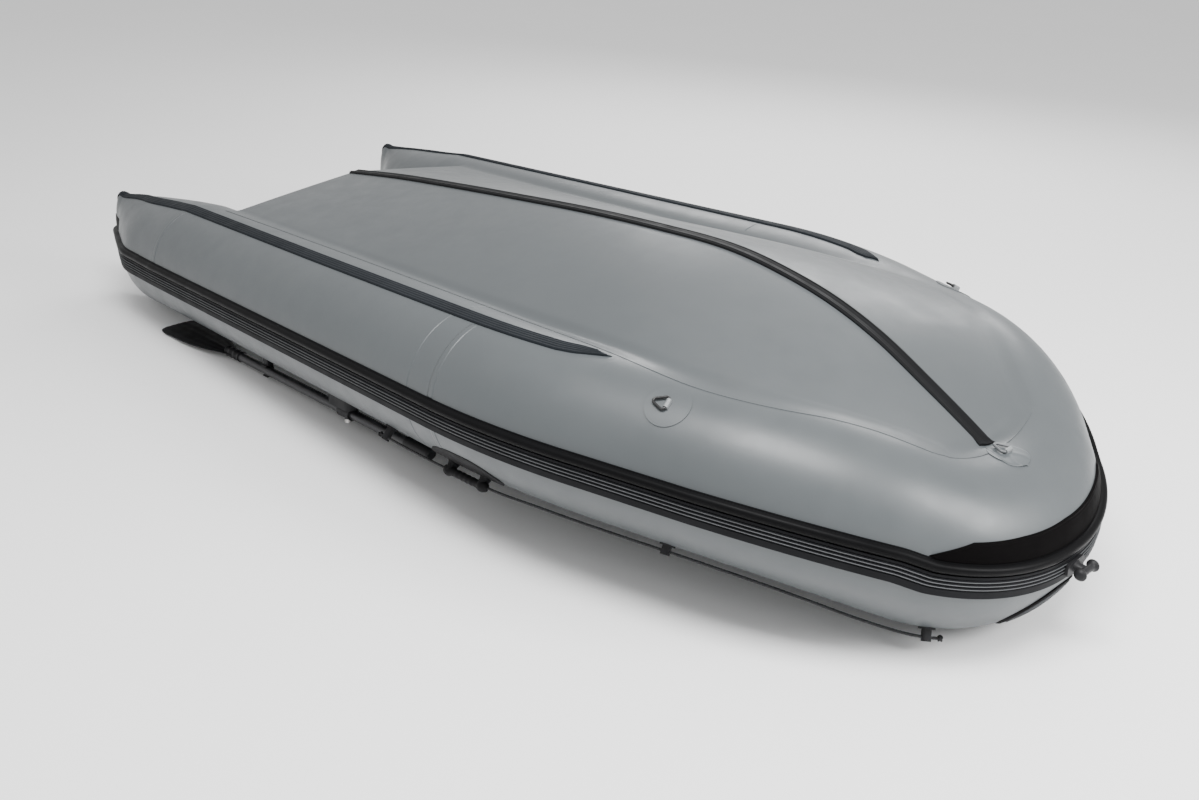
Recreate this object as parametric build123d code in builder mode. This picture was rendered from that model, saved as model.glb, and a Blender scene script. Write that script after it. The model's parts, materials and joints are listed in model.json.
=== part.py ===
from build123d import *
import os
from math import cos, pi, radians, sin, sqrt, tan

os.makedirs("parts", exist_ok=True)

# Inflatable boat lying hull up. Millimetres, +X towards the bow, +Z up, starboard is +Y.
# Each piece is built in the hull frame: x = 0 at the sterns of the side tubes, z = 0 at
# the axis of their straight run. REST then stands the boat on its bow and oar blades.

# ---- driving dimensions ------------------------------------------------------------
TUBE_R = 232.0          # outer radius of the air tube
SKIN = 1.5              # coated fabric
STERN_Y = 607.0         # tube axis at the stern
SHOULDER = (2746.0, 668.0, 0.0)
CHEEK = (3489.0, 449.0, -54.0)
NOSE = (3768.0, 151.0, -219.0)
BEND_RADII = (1610.0, 680.0, 325.0)
CONE_X = 650.0          # the side tube starts to taper aft of here
BAFFLE_X = 2400.0       # wall between side chamber and bow chamber
TRANSOM_X = 795.0       # aft face of the transom
TRANSOM_T = 26.0
DECK_Z = 110.0          # cockpit side of the bottom chamber
MAT_T = 6.0
OAR_Z = -262.0          # oar shaft axis
ROWLOCK = (1790.0, 735.0)
SEAT_X = 1300.0
RAIL_Y = 560.0
ROPE_R = 4.0
PITCH = 3.277           # bow-up tilt of the hull lying on the floor
FLOOR_DROP = 235.269    # from the hull frame's origin down to the floor, after the tilt
CENTRE_X = 2008.8       # middle of the whole boat's length, after the tilt

TOE = (SHOULDER[1] - STERN_Y) / SHOULDER[0]     # the side tubes open towards the bow
AXIS = Vector(1, TOE, 0).normalized()
REST = Location((-CENTRE_X, 0, FLOOR_DROP), (0, -PITCH, 0))


def axis_y(x):
    """Distance of the straight tube's axis from the centre plane."""
    return STERN_Y + TOE * x


def station(x):
    """Plane square to the starboard tube's straight axis: local x outboard, local y up."""
    return Plane(origin=(x, axis_y(x), 0), x_dir=(-TOE, 1, 0), z_dir=AXIS)


def on_tube(x, angle, height=0.0):
    """Point on the starboard tube's straight run. The angle is 0 outboard, 90 up."""
    reach = TUBE_R + height
    return Vector(x, axis_y(x) + reach * cos(radians(angle)), reach * sin(radians(angle)))


def port(point):
    return (point[0], -point[1], point[2])


def save(part, name):
    part.label = name
    placed = REST * part
    placed.label = name
    export_step(placed, f"parts/{name}.step")


def twin(part):
    """The part and its mirror image on the other side of the centre plane."""
    return Compound(children=[part, part.mirror(Plane.XZ)])


# ---- solid cores of the tubes, used to trim what lies on them ------------------------
BOW_CORNERS = [
    (BAFFLE_X, axis_y(BAFFLE_X), 0), SHOULDER, CHEEK, NOSE,
    port(NOSE), port(CHEEK), port(SHOULDER), (BAFFLE_X, -axis_y(BAFFLE_X), 0),
]
BOW_RADII = list(BEND_RADII) + list(reversed(BEND_RADII))


def bow_solid(radius):
    """A solid rod along the bow tube's axis, between the two chamber walls."""
    with BuildPart() as bow:
        with BuildLine() as route:
            FilletPolyline(*BOW_CORNERS, radius=BOW_RADII)
        with BuildSketch(Plane(origin=route.line @ 0, z_dir=route.line % 0)):
            Circle(radius)
        sweep(path=route.line)
    return bow.part


# stations of the stern cone: x, axis y, axis z, half width, half height
CONE = [
    (-36, 671, -42, 12, 55),
    (-20, 671, -25, 26, 112),
    (0, 670, 1, 40, 177),
    (70, 667, -8, 70, 192),
    (200, 645, -14, 142, 211),
    (350, 633, -11, 203, 220),
    (500, 622, -6, 225, 226),
]


def cone_solid(inset=0.0):
    """The tapered stern of the starboard tube, flattened to an upright edge."""
    with BuildPart() as cone:
        for x, y, z, half_y, half_z in CONE:
            nudge = inset if x < 0 else 0
            place = Plane(origin=(x + nudge, y, z), x_dir=(0, 1, 0), z_dir=(1, 0, 0))
            with BuildSketch(place):
                Ellipse(half_y - inset, half_z - inset)
        with BuildSketch(station(CONE_X)):
            Ellipse(TUBE_R - inset - 0.01, TUBE_R - inset)
        loft(ruled=True)
    return cone.part


def straight_solid(radius):
    """The straight run of the starboard tube, from the cone to the chamber wall."""
    with BuildPart() as run:
        with BuildSketch(station(CONE_X)):
            Circle(radius)
        extrude(amount=(BAFFLE_X - CONE_X) / AXIS.X)
    return run.part


side_core = straight_solid(TUBE_R)
bow_core = bow_solid(TUBE_R)
cone_core = cone_solid()


def ring_sector(place, inner, outer, start, end):
    """A face on that plane between two radii and two angles."""
    with BuildSketch(place) as sector:
        with BuildLine():
            low = CenterArc((0, 0), inner, start, end - start)
            high = CenterArc((0, 0), outer, start, end - start)
            Line(low @ 0, high @ 0)
            Line(low @ 1, high @ 1)
        make_face()
    return sector.sketch


with BuildLine() as bow_route:
    FilletPolyline(*BOW_CORNERS, radius=BOW_RADII)


def bow_station(fraction):
    """Plane square to the bow tube: local x outboard and level, local y up."""
    heading = bow_route.line % fraction
    return Plane(
        origin=bow_route.line @ fraction, x_dir=Vector(0, 0, 1).cross(heading), z_dir=heading
    )


def bow_sector(inner, outer, start, end, first=0.0, last=1.0, count=73):
    """A strip on the bow tube between two radii, two angles and two places along it."""
    with BuildPart() as strip:
        for i in range(count):
            fraction = first + (last - first) * i / (count - 1)
            add(ring_sector(bow_station(fraction), inner, outer, start, end))
        loft()
    return strip.part


# ---- places on the tubes --------------------------------------------------------------
VALVE_BARREL = 20.0
SIDE_VALVE_X = 950.0
VALVE_ANGLE = 235.0
SIDE_VALVE = Plane(
    origin=on_tube(SIDE_VALVE_X, VALVE_ANGLE), x_dir=AXIS,
    z_dir=on_tube(SIDE_VALVE_X, VALVE_ANGLE) - Vector(SIDE_VALVE_X, axis_y(SIDE_VALVE_X), 0),
)
BOW_VALVE_N = Vector(-cos(radians(50)), 0, -sin(radians(50)))
BOW_VALVE = Plane(
    origin=Vector(NOSE[0], 0, NOSE[2]) + BOW_VALVE_N * TUBE_R, x_dir=(0, 1, 0), z_dir=BOW_VALVE_N
)
FLOOR_VALVE = Plane(origin=(900, -250, DECK_Z), x_dir=(1, 0, 0), z_dir=(0, 0, -1))


# ---- air chambers ----------------------------------------------------------------------
with BuildPart() as starboard_side_tube:
    with BuildSketch(station(CONE_X)):
        Circle(TUBE_R)
        Circle(TUBE_R - SKIN, mode=Mode.SUBTRACT)
    extrude(amount=(BAFFLE_X - CONE_X) / AXIS.X)
    with BuildSketch(SIDE_VALVE.offset(5)):
        Circle(VALVE_BARREL)
    extrude(amount=-40, mode=Mode.SUBTRACT)
save(starboard_side_tube.part, "starboard_side_tube")
save(starboard_side_tube.part.mirror(Plane.XZ), "port_side_tube")


SEAM = 0.2               # between two panels, or two lengths of a strip


def bow_panel(stretches):
    """One fabric panel of the bow tube, with its neighbours a seam away."""
    with BuildPart() as panel:
        with BuildLine() as run:
            add(stretches)
        with BuildSketch(Plane(origin=run.line @ 0, z_dir=run.line % 0)):
            Circle(TUBE_R)
            Circle(TUBE_R - SKIN, mode=Mode.SUBTRACT)
        sweep(path=run.line)
        with BuildSketch(Plane(origin=run.line @ 1, z_dir=run.line % 1).offset(-SEAM)):
            Circle(TUBE_R + 10)
        extrude(amount=2 * SEAM, mode=Mode.SUBTRACT)
        with BuildSketch(BOW_VALVE.offset(5)):
            Circle(VALVE_BARREL)
        extrude(amount=-40, mode=Mode.SUBTRACT)
    return panel.part


bow_stretches = bow_route.line.edges().sort_by(Axis.Y, reverse=True)
NOSE_STRETCHES = slice(5, 8)     # both nose bends and the short run between them
bow_panels = [bow_panel([stretch]) for stretch in bow_stretches[:5]]
bow_panels.append(bow_panel(bow_stretches[NOSE_STRETCHES]))
bow_panels += [bow_panel([stretch]) for stretch in bow_stretches[8:]]
save(Compound(children=bow_panels), "bow_tube")

with BuildPart() as chamber_baffle:
    with BuildSketch(station(BAFFLE_X)):
        Circle(TUBE_R - SKIN)
    extrude(amount=-2 * SKIN)
save(twin(chamber_baffle.part), "chamber_baffles")

with BuildPart() as starboard_stern_cone:
    add(cone_core)
    add(cone_solid(SKIN), mode=Mode.SUBTRACT)
save(starboard_stern_cone.part, "starboard_stern_cone")
save(starboard_stern_cone.part.mirror(Plane.XZ), "port_stern_cone")


# ---- inflatable V bottom: x, crest z, edge y, edge z, bulge of each side, deck side z ----
BOTTOM = [
    (TRANSOM_X + TRANSOM_T, 285, 560, 215, 2, DECK_Z),
    (1120, 313, 556, 210, 5, DECK_Z),
    (1434, 333, 552, 206, 8, DECK_Z),
    (1860, 355, 550, 203, 14, DECK_Z),
    (2232, 371, 548, 200, 18, DECK_Z),
    (2560, 376, 552, 203, 21, DECK_Z),
    (2862, 368, 556, 208, 22, DECK_Z),
    (3045, 338, 560, 206, 20, 102),
    (3228, 289, 560, 196, 16, 80),
    (3386, 223, 540, 177, 11, 46),
    (3548, 131, 450, 140, 5, 5),
    (3703, 36, 300, 84, 1, -30),
]


def bottom_solid(inset=0.0):
    """The bottom between the tubes, its edges still running into them."""
    with BuildPart() as bottom:
        for i, (x, crest, edge_y, edge_z, bulge, deck) in enumerate(BOTTOM):
            nudge = {0: inset, len(BOTTOM) - 1: -inset}.get(i, 0)
            top = (0, crest - inset)
            mid_y = edge_y / 2
            mid_z = (crest + edge_z) / 2 + bulge - inset
            with BuildSketch(Plane.YZ.offset(x + nudge)):
                with BuildLine():
                    ThreePointArc((-edge_y, edge_z - inset), (-mid_y, mid_z), top)
                    ThreePointArc(top, (mid_y, mid_z), (edge_y, edge_z - inset))
                    Line((edge_y, edge_z - inset), (edge_y, deck + inset))
                    Line((edge_y, deck + inset), (-edge_y, deck + inset))
                    Line((-edge_y, deck + inset), (-edge_y, edge_z - inset))
                make_face()
        loft(ruled=True)
    return bottom.part


def between_tubes(part, side, bow):
    """Cuts the side tubes and the bow tube out of the part."""
    with BuildPart() as rest:
        add(part)
        add(side, mode=Mode.SUBTRACT)
        add(side.mirror(Plane.XZ), mode=Mode.SUBTRACT)
        add(bow, mode=Mode.SUBTRACT)
    return rest.part


bottom_core = between_tubes(bottom_solid(), side_core, bow_core)
bottom_air = between_tubes(
    bottom_solid(SKIN), straight_solid(TUBE_R + SKIN), bow_solid(TUBE_R + SKIN)
)

with BuildPart() as hull_bottom:
    add(bottom_core)
    add(bottom_air, mode=Mode.SUBTRACT)
    with BuildSketch(FLOOR_VALVE.offset(5)):
        Circle(VALVE_BARREL)
    extrude(amount=-40, mode=Mode.SUBTRACT)
save(hull_bottom.part, "hull_bottom")

WEB_YS = (-320, -160, 0, 160, 320)
WEB_X = (900, 3250)
with BuildPart() as floor_webs:
    with Locations(*[(sum(WEB_X) / 2, y, 250) for y in WEB_YS]):
        Box(WEB_X[1] - WEB_X[0], SKIN, 400)
    add(bottom_air, mode=Mode.INTERSECT)
save(floor_webs.part, "floor_webs")

MAT_X = (850, 2650)
MAT_GAP = 0.3
with BuildPart() as deck_mat:
    with Locations((sum(MAT_X) / 2, 0, DECK_Z - MAT_GAP - MAT_T / 2)):
        Box(MAT_X[1] - MAT_X[0], 900, MAT_T)
    add(side_core, mode=Mode.SUBTRACT)
    add(side_core.mirror(Plane.XZ), mode=Mode.SUBTRACT)
    add(bow_core, mode=Mode.SUBTRACT)
    with BuildSketch(FLOOR_VALVE.offset(-1)):
        Circle(40)
    extrude(amount=MAT_T + 2, mode=Mode.SUBTRACT)
save(deck_mat.part, "deck_mat")


# ---- transom and what is bolted to it ----------------------------------------------------
BOLT_Y = 120.0
BOLT_ZS = (-70.0, -30.0)
BOLT_R = 4.0
DRAIN = (-330.0, 80.0)
DRAIN_R = 14.0
OUTER_PLATE_T = 8.0
INNER_PLATE_T = 5.0
TRANSOM_EDGE = [
    (-500, 221), (0, 284), (500, 221), (500, -150), (230, -150),
    (200, -100), (-200, -100), (-230, -150), (-500, -150),
]
BOLT_SPOTS = [(y, z) for y in (-BOLT_Y, BOLT_Y) for z in BOLT_ZS]
transom_front = TRANSOM_X + TRANSOM_T

with BuildPart() as transom:
    with BuildSketch(Plane.YZ.offset(TRANSOM_X)):
        with BuildLine():
            Polyline(*TRANSOM_EDGE, close=True)
        make_face()
        with Locations(*BOLT_SPOTS):
            Circle(BOLT_R + 0.5, mode=Mode.SUBTRACT)
        with Locations(DRAIN):
            Circle(DRAIN_R, mode=Mode.SUBTRACT)
    extrude(amount=TRANSOM_T)
    add(side_core, mode=Mode.SUBTRACT)
    add(side_core.mirror(Plane.XZ), mode=Mode.SUBTRACT)
save(transom.part, "transom")

HOLDER_LENGTH = 60.0
HOLDER_T = 8.0
HOLDER_SLANT = 6.0       # the tubes open towards the bow, so the bands start inside the board
with BuildPart() as transom_holder:
    for x, start in ((TRANSOM_X - HOLDER_LENGTH, 120), (transom_front - HOLDER_SLANT, 157)):
        band = ring_sector(station(x), TUBE_R, TUBE_R + HOLDER_T, start, 214)
        extrude(band, amount=HOLDER_LENGTH)
    with BuildSketch(Plane.YZ.offset(TRANSOM_X)):
        Rectangle(2 * STERN_Y, 2 * TUBE_R)
    extrude(amount=TRANSOM_T, mode=Mode.SUBTRACT)
save(twin(transom_holder.part), "transom_holders")

BOLT_HEAD_R = 7.5
BOLT_HEAD_T = 4.5
HEAD_POCKET = 5.0        # the bolt heads lie just below the plate's face
outer_face = TRANSOM_X - OUTER_PLATE_T
with BuildPart() as outer_motor_plate:
    with BuildSketch(Plane.YZ.offset(outer_face)):
        with Locations((0, 15)):
            RectangleRounded(300, 210, 20)
        with Locations(*BOLT_SPOTS):
            Circle(BOLT_R + 0.5, mode=Mode.SUBTRACT)
    extrude(amount=OUTER_PLATE_T)
    with BuildSketch(Plane.YZ.offset(outer_face)):
        with Locations(*BOLT_SPOTS):
            Circle(BOLT_HEAD_R + 0.5)
    extrude(amount=HEAD_POCKET, mode=Mode.SUBTRACT)
save(outer_motor_plate.part, "outer_motor_plate")

with BuildPart() as inner_motor_plate:
    with BuildSketch(Plane.YZ.offset(transom_front)):
        with Locations((0, -50)):
            RectangleRounded(320, 84, 15)
        with Locations(*BOLT_SPOTS):
            Circle(BOLT_R + 0.5, mode=Mode.SUBTRACT)
    extrude(amount=INNER_PLATE_T)
save(inner_motor_plate.part, "inner_motor_plate")

NUT_R = 7.0
NUT_T = 5.0
head_seat = outer_face + HEAD_POCKET
inner_face = transom_front + INNER_PLATE_T
with BuildPart() as motor_plate_bolts:
    for x, length, radius in (
        (head_seat - BOLT_HEAD_T, BOLT_HEAD_T, BOLT_HEAD_R),
        (head_seat, inner_face - head_seat, BOLT_R),
        (inner_face, NUT_T, NUT_R),
    ):
        with BuildSketch(Plane.YZ.offset(x)):
            with Locations(*BOLT_SPOTS):
                Circle(radius)
        extrude(amount=length)
save(motor_plate_bolts.part, "motor_plate_bolts")

DRAIN_BORE = 10.0
SOCKET_FLANGE_T = 6.0
SOCKET_NUT_T = 5.0
with BuildPart() as drain_socket:
    for x, length, radius in (
        (TRANSOM_X - SOCKET_FLANGE_T, SOCKET_FLANGE_T, 24),
        (TRANSOM_X, TRANSOM_T, DRAIN_R),
        (transom_front, SOCKET_NUT_T, 22),
    ):
        with BuildSketch(Plane.YZ.offset(x)):
            with Locations(DRAIN):
                Circle(radius)
        extrude(amount=length)
    with BuildSketch(Plane.YZ.offset(TRANSOM_X - SOCKET_FLANGE_T)):
        with Locations(DRAIN):
            Circle(DRAIN_BORE)
    extrude(amount=60, mode=Mode.SUBTRACT)
save(drain_socket.part, "drain_socket")

PLUG_RUN = 0.4
PLUG_FACE = TRANSOM_X - SOCKET_FLANGE_T - PLUG_RUN
PLUG_COVER_T = 5.0
PLUG_BAR_H = 12.0
with BuildPart() as drain_plug:
    with BuildSketch(Plane.YZ.offset(PLUG_FACE)):
        with Locations(DRAIN):
            Circle(DRAIN_BORE - PLUG_RUN)
    extrude(amount=20)
    with BuildSketch(Plane.YZ.offset(PLUG_FACE - PLUG_COVER_T)):
        with Locations(DRAIN):
            Circle(17)
    extrude(amount=PLUG_COVER_T)
    with BuildSketch(Plane.YZ.offset(PLUG_FACE - PLUG_COVER_T - PLUG_BAR_H)):
        with Locations(DRAIN):
            Rectangle(28, 6)
    extrude(amount=PLUG_BAR_H)
save(drain_plug.part, "drain_plug")


# ---- strakes and bands on the outside ------------------------------------------------------
STRAKE_W = 45.0
STRAKE_T = 6.0
KEEL_BLOCK = 24.0        # the keel strake before its underside is cut to the bottom's shape
KEEL_CENTRE = 3.0
with BuildPart() as keel_strake:
    with BuildLine() as crest:
        Spline(
            (800, 0, 283), *[(x, 0, crest_z) for x, crest_z, *_ in BOTTOM[1:]], (3731, 0, 16),
        )
    with BuildSketch(Plane(origin=crest.line @ 0, x_dir=(0, 1, 0), z_dir=crest.line % 0)):
        with Locations((0, KEEL_CENTRE)):
            Rectangle(STRAKE_W, KEEL_BLOCK)
    sweep(path=crest.line)
    for under in (bottom_core, bow_core, transom.part):
        add(under, mode=Mode.SUBTRACT)
save(keel_strake.part, "keel_strake")


# stations of the starboard strake: x, y, height of the tube's skin, width, lean outboard in degrees
STRAKE = [
    (4, 670, 178, 24, 0), (70, 667, 184, 28, 0), (200, 661, 195.7, 34, 9.5),
    (350, 661, 206.9, 40, 8.5), (500, 661, 216.6, 44, 10), (650, 664, 228.1, STRAKE_W, 10.6),
    (*on_tube(760, 79), STRAKE_W, 11), (*on_tube(1600, 80.5), STRAKE_W, 9.5),
    (*on_tube(2380, 82), STRAKE_W, 8),
    (2560, 695, 230.2, STRAKE_W, 8), (2740, 681, 226.7, STRAKE_W, 7.6),
    (2880, 656, 220.6, STRAKE_W, 7), (2940, 643, 217.2, 16, 7),
]
STRAKE_LIFT = 0.8        # the flat underside lies on the crown of the tube
with BuildPart() as starboard_strake:
    for x, y, z, width, lean in STRAKE:
        across = (0, cos(radians(lean)), -sin(radians(lean)))
        with BuildSketch(Plane(origin=(x, y, z), x_dir=across, z_dir=(1, 0, 0))):
            with Locations((0, STRAKE_LIFT + STRAKE_T / 2)):
                Rectangle(width, STRAKE_T)
    loft(ruled=True)
save(starboard_strake.part, "starboard_strake")
save(starboard_strake.part.mirror(Plane.XZ), "port_strake")


# ---- rub band, guard and pads: strips on the tube between two angles ----------------------
GLUED_R = TUBE_R + 0.4
SUNK = 12.0              # how far a cone strip's blank runs into the cone before it is cut


def cone_strip(thickness, low, high):
    """A strip on the outboard side of the starboard cone between two heights."""
    places = [
        (Plane(origin=(x, y, 0), x_dir=(0, 1, 0), z_dir=(1, 0, 0)), z, half_y, half_z)
        for x, y, z, half_y, half_z in CONE[2:]
    ]
    places.append((station(CONE_X), 0, TUBE_R, TUBE_R))
    with BuildPart() as strip:
        for place, z, half_y, half_z in places:
            low_y, high_y = (
                half_y * sqrt(1 - ((height - z) / half_z) ** 2) for height in (low, high)
            )
            outline = [
                (low_y - SUNK, low), (low_y + thickness, low),
                (high_y + thickness, high), (high_y - SUNK, high),
            ]
            with BuildSketch(place):
                Polygon(*outline, align=None)
        loft(ruled=True)
        add(cone_core, mode=Mode.SUBTRACT)
    return strip.part


def side_strip(thickness, start, end):
    """A strip on the straight run of the starboard tube."""
    with BuildPart() as strip:
        face = ring_sector(station(CONE_X + SEAM), GLUED_R, TUBE_R + thickness, start, end)
        extrude(face, amount=(BAFFLE_X - CONE_X - 2 * SEAM) / AXIS.X)
    return strip.part


def all_round(thickness, start, end):
    """A strip round the outside of all the tubes."""
    low = TUBE_R * sin(radians(start))
    high = TUBE_R * sin(radians(end))
    half = [cone_strip(thickness, low, high), side_strip(thickness, start, end)]
    bow = bow_sector(GLUED_R, TUBE_R + thickness, start, end)
    return Compound(children=[bow, *half, *[piece.mirror(Plane.XZ) for piece in half]])


BEAD_T = 20.0
BAND_T = 12.0
BAND_ANGLES = (-11.2, 4.2, 12.4)
JOINT_ANGLE = 0.15       # the strips stop short of each other by twice this
rub_bead = all_round(BEAD_T, BAND_ANGLES[1] + JOINT_ANGLE, BAND_ANGLES[2])
save(rub_bead, "rub_bead")
rub_band = all_round(BAND_T, BAND_ANGLES[0], BAND_ANGLES[1] - JOINT_ANGLE)
save(rub_band, "rub_band")

GUARD_T = 6.0
GUARD_SPAN = (0.362, 0.638)
bow_guard = bow_sector(GLUED_R, TUBE_R + GUARD_T, BAND_ANGLES[2] + 2 * JOINT_ANGLE, 29, *GUARD_SPAN, 31)
save(bow_guard, "bow_guard")
PAD_T = 5.0
bow_step_pad = bow_sector(GLUED_R, TUBE_R + PAD_T, -62, -19, 0.475, 0.525, 7)
save(bow_step_pad, "bow_step_pad")


# ---- black patches and knobs at the sterns ---------------------------------------------------
with BuildPart() as stern_patch:
    with Locations((30, 760, 76)):
        Box(150, 186, 46)
    add(cone_solid(-2.0), mode=Mode.INTERSECT)
    add(cone_core, mode=Mode.SUBTRACT)
save(twin(stern_patch.part), "stern_end_patches")

KNOB_R = 13.0
with BuildPart() as stern_knob:
    with BuildSketch(Plane(origin=(-56, 671, -42), x_dir=(0, 1, 0), z_dir=(1, 0, 0))):
        Circle(KNOB_R)
    extrude(amount=50)
    add(cone_core, mode=Mode.SUBTRACT)
    fillet(stern_knob.edges().group_by(Axis.X)[0], 5)
save(twin(stern_knob.part), "stern_end_knobs")


# ---- bow cleat -------------------------------------------------------------------------------
CLEAT_FOOT = 4000.0 + BAND_T     # face of the rub band at the bow
CLEAT_Z = NOSE[2] - 12
CLEAT_BASE_T = 8.0
CLEAT_BAR = 88.0
with BuildPart() as bow_cleat_base:
    with BuildSketch(Plane.YZ.offset(CLEAT_FOOT)):
        with Locations((0, CLEAT_Z)):
            RectangleRounded(84, 38, 12)
    extrude(amount=CLEAT_BASE_T)
save(bow_cleat_base.part, "bow_cleat_base")

CLEAT_BAR_X = CLEAT_FOOT + 36
bar_start = Plane(origin=(CLEAT_BAR_X, -CLEAT_BAR / 2, CLEAT_Z), x_dir=(1, 0, 0), z_dir=(0, 1, 0))
with BuildPart() as bow_cleat:
    with BuildSketch(Plane.YZ.offset(CLEAT_FOOT + CLEAT_BASE_T)):
        with Locations((0, CLEAT_Z)):
            Ellipse(22, 14)
    extrude(amount=24)
    with BuildSketch(bar_start):
        Circle(11)
    extrude(amount=CLEAT_BAR)
    with Locations((CLEAT_BAR_X, -32, CLEAT_Z), (CLEAT_BAR_X, 32, CLEAT_Z)):
        Sphere(17)
save(bow_cleat.part, "bow_cleat")


# ---- tow rings ---------------------------------------------------------------------------------
RING_WIRE = 3.5
RING_HEIGHT = 9.0
PATCH_T = 2.5
RING_ARM = 50.0
RING_HALF = 24.0
LOOP_R = 6.5
LOOP_HALF = 13.0
SIDE_RING_FOOT = 439.0           # along the run from the shoulder to the cheek
side_run = (Vector(*CHEEK) - Vector(*SHOULDER)).normalized()
side_foot = Vector(*SHOULDER) + side_run * SIDE_RING_FOOT
side_level = Vector(0, 0, 1).cross(side_run).normalized()
side_up = side_run.cross(side_level)
RING_ANGLE = radians(59)
side_out = side_level * cos(RING_ANGLE) + side_up * sin(RING_ANGLE)
SIDE_RING = Plane(origin=side_foot + side_out * TUBE_R, x_dir=side_run, z_dir=side_out)
BOW_RING_X = 3797.0
bow_out = Vector(BOW_RING_X - NOSE[0], 0, sqrt(TUBE_R**2 - (BOW_RING_X - NOSE[0]) ** 2)) / TUBE_R
BOW_RING = Plane(
    origin=Vector(NOSE[0], 0, NOSE[2]) + bow_out * TUBE_R,
    x_dir=Vector(0, 1, 0).cross(bow_out), z_dir=bow_out,
)


def ring_patch(place, radius):
    with BuildPart() as patch:
        add(bow_solid(TUBE_R + PATCH_T))
        with BuildSketch(place.offset(-40)):
            Circle(radius)
        extrude(amount=60, mode=Mode.INTERSECT)
        add(bow_core, mode=Mode.SUBTRACT)
    return patch.part


def tow_ring(place):
    with BuildPart() as ring:
        with BuildLine() as wire:
            FilletPolyline(
                *[place.from_local_coords((t, c, RING_HEIGHT)) for t, c in
                  ((-RING_ARM, 0), (0, -RING_HALF), (0, RING_HALF))],
                radius=8, close=True,
            )
        start = wire.line @ 0
        with BuildSketch(Plane(origin=start, z_dir=wire.line % 0)):
            Circle(RING_WIRE)
        sweep(path=wire.line)
    return ring.part


def ring_loop(place):
    """The tab that holds the straight side of the ring and lets it turn."""
    across = Plane(
        origin=place.from_local_coords((0, -LOOP_HALF, RING_HEIGHT)),
        x_dir=place.x_dir, z_dir=place.y_dir,
    )
    with BuildPart() as loop:
        with BuildSketch(across):
            Circle(LOOP_R)
            with Locations((0, (RING_HEIGHT - PATCH_T) / 2)):
                Rectangle(2 * LOOP_R, RING_HEIGHT - PATCH_T)
            Circle(RING_WIRE + 0.4, mode=Mode.SUBTRACT)
        extrude(amount=2 * LOOP_HALF)
    return loop.part


side_patch = ring_patch(SIDE_RING, 62)
bow_patch = ring_patch(BOW_RING, 52)
tow_ring_patches = Compound(children=[side_patch, side_patch.mirror(Plane.XZ), bow_patch])
save(tow_ring_patches, "tow_ring_patches")
side_loop = ring_loop(SIDE_RING)
ring_loops = Compound(children=[side_loop, side_loop.mirror(Plane.XZ), ring_loop(BOW_RING)])
save(ring_loops, "tow_ring_loops")
side_ring = tow_ring(SIDE_RING)
save(side_ring, "starboard_tow_ring")
save(side_ring.mirror(Plane.XZ), "port_tow_ring")
save(tow_ring(BOW_RING), "bow_tow_ring")


# ---- carry handles and lifelines ---------------------------------------------------------------
HANDLE_X = 2570.0
HANDLE_ANGLE = radians(-50)
HANDLE_AXIS_Y = 662.0            # tube axis abreast of the handle
HANDLE_HEIGHT = 30.0
HANDLE_R = 12.0
HANDLE_HALF = 92.0
HANDLE_PAD_T = 4.0
FOOT_SUNK = 6.0          # the feet run into the pad before it is cut out of them
ROPE_HOLE = ROPE_R + 0.6
handle_out = Vector(0.0155, cos(HANDLE_ANGLE), sin(HANDLE_ANGLE)).normalized()
handle_run = Vector(1, -0.0247, 0).normalized()
HANDLE = Plane(
    origin=Vector(HANDLE_X, HANDLE_AXIS_Y, 0) + handle_out * TUBE_R,
    x_dir=handle_run, z_dir=handle_out,
)
padded_core = bow_solid(TUBE_R + HANDLE_PAD_T)

with BuildPart() as handle_pad:
    with BuildSketch(HANDLE.offset(-60)):
        Ellipse(160, 58)
    extrude(amount=90)
    add(padded_core, mode=Mode.INTERSECT)
    add(bow_core, mode=Mode.SUBTRACT)
save(twin(handle_pad.part), "handle_pads")

across_handle = Plane(
    origin=HANDLE.from_local_coords((-HANDLE_HALF, 0, HANDLE_HEIGHT)),
    x_dir=HANDLE.z_dir, z_dir=HANDLE.x_dir,
)
with BuildPart() as carry_handle:
    with BuildSketch(across_handle):
        Circle(HANDLE_R)
    extrude(amount=2 * HANDLE_HALF)
    with BuildSketch(HANDLE.offset(HANDLE_PAD_T - FOOT_SUNK)):
        with Locations((-70, 0), (70, 0)):
            RectangleRounded(38, 30, 8)
    extrude(amount=HANDLE_HEIGHT + FOOT_SUNK)
    add(padded_core, mode=Mode.SUBTRACT)
    with Locations(*[HANDLE.from_local_coords((t, 0, HANDLE_HEIGHT)) for t in (-80, 80)]):
        Sphere(17)
    with BuildSketch(across_handle.offset(-20)):
        Circle(ROPE_HOLE)
    extrude(amount=2 * HANDLE_HALF + 40, mode=Mode.SUBTRACT)
save(twin(carry_handle.part), "carry_handles")

handle_entry = HANDLE.from_local_coords((-120, 0, HANDLE_HEIGHT))
handle_leave = HANDLE.from_local_coords((120, 0, HANDLE_HEIGHT))
ROPE_ROUTE = [
    (2150, 836, -196), (2260, 837.5, -198), (2360, 836.5, -199), tuple(handle_entry),
    tuple(handle_leave), (2810, 797, -207), (2945, 760, -218), (3095, 714, -230),
    (3239, 668, -241), (3345, 630, -253), (3450, 582, -272), (3550, 520, -303),
    (3650, 445, -346), (3735, 368, -386), (3789, 317, -405), (3822, 280, -411),
]


def turn_radii(points):
    """The largest arc that each corner of the route has room for."""
    radii = []
    for a, b, c in zip(points, points[1:], points[2:]):
        before = Vector(*b) - Vector(*a)
        after = Vector(*c) - Vector(*b)
        turn = radians(before.get_angle(after))
        radii.append(0.45 * min(before.length, after.length) / tan(turn / 2))
    return radii


rope_radii = turn_radii(ROPE_ROUTE)
KNOT_R = 9.0
KNOT_LENGTH = 14.0


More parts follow.
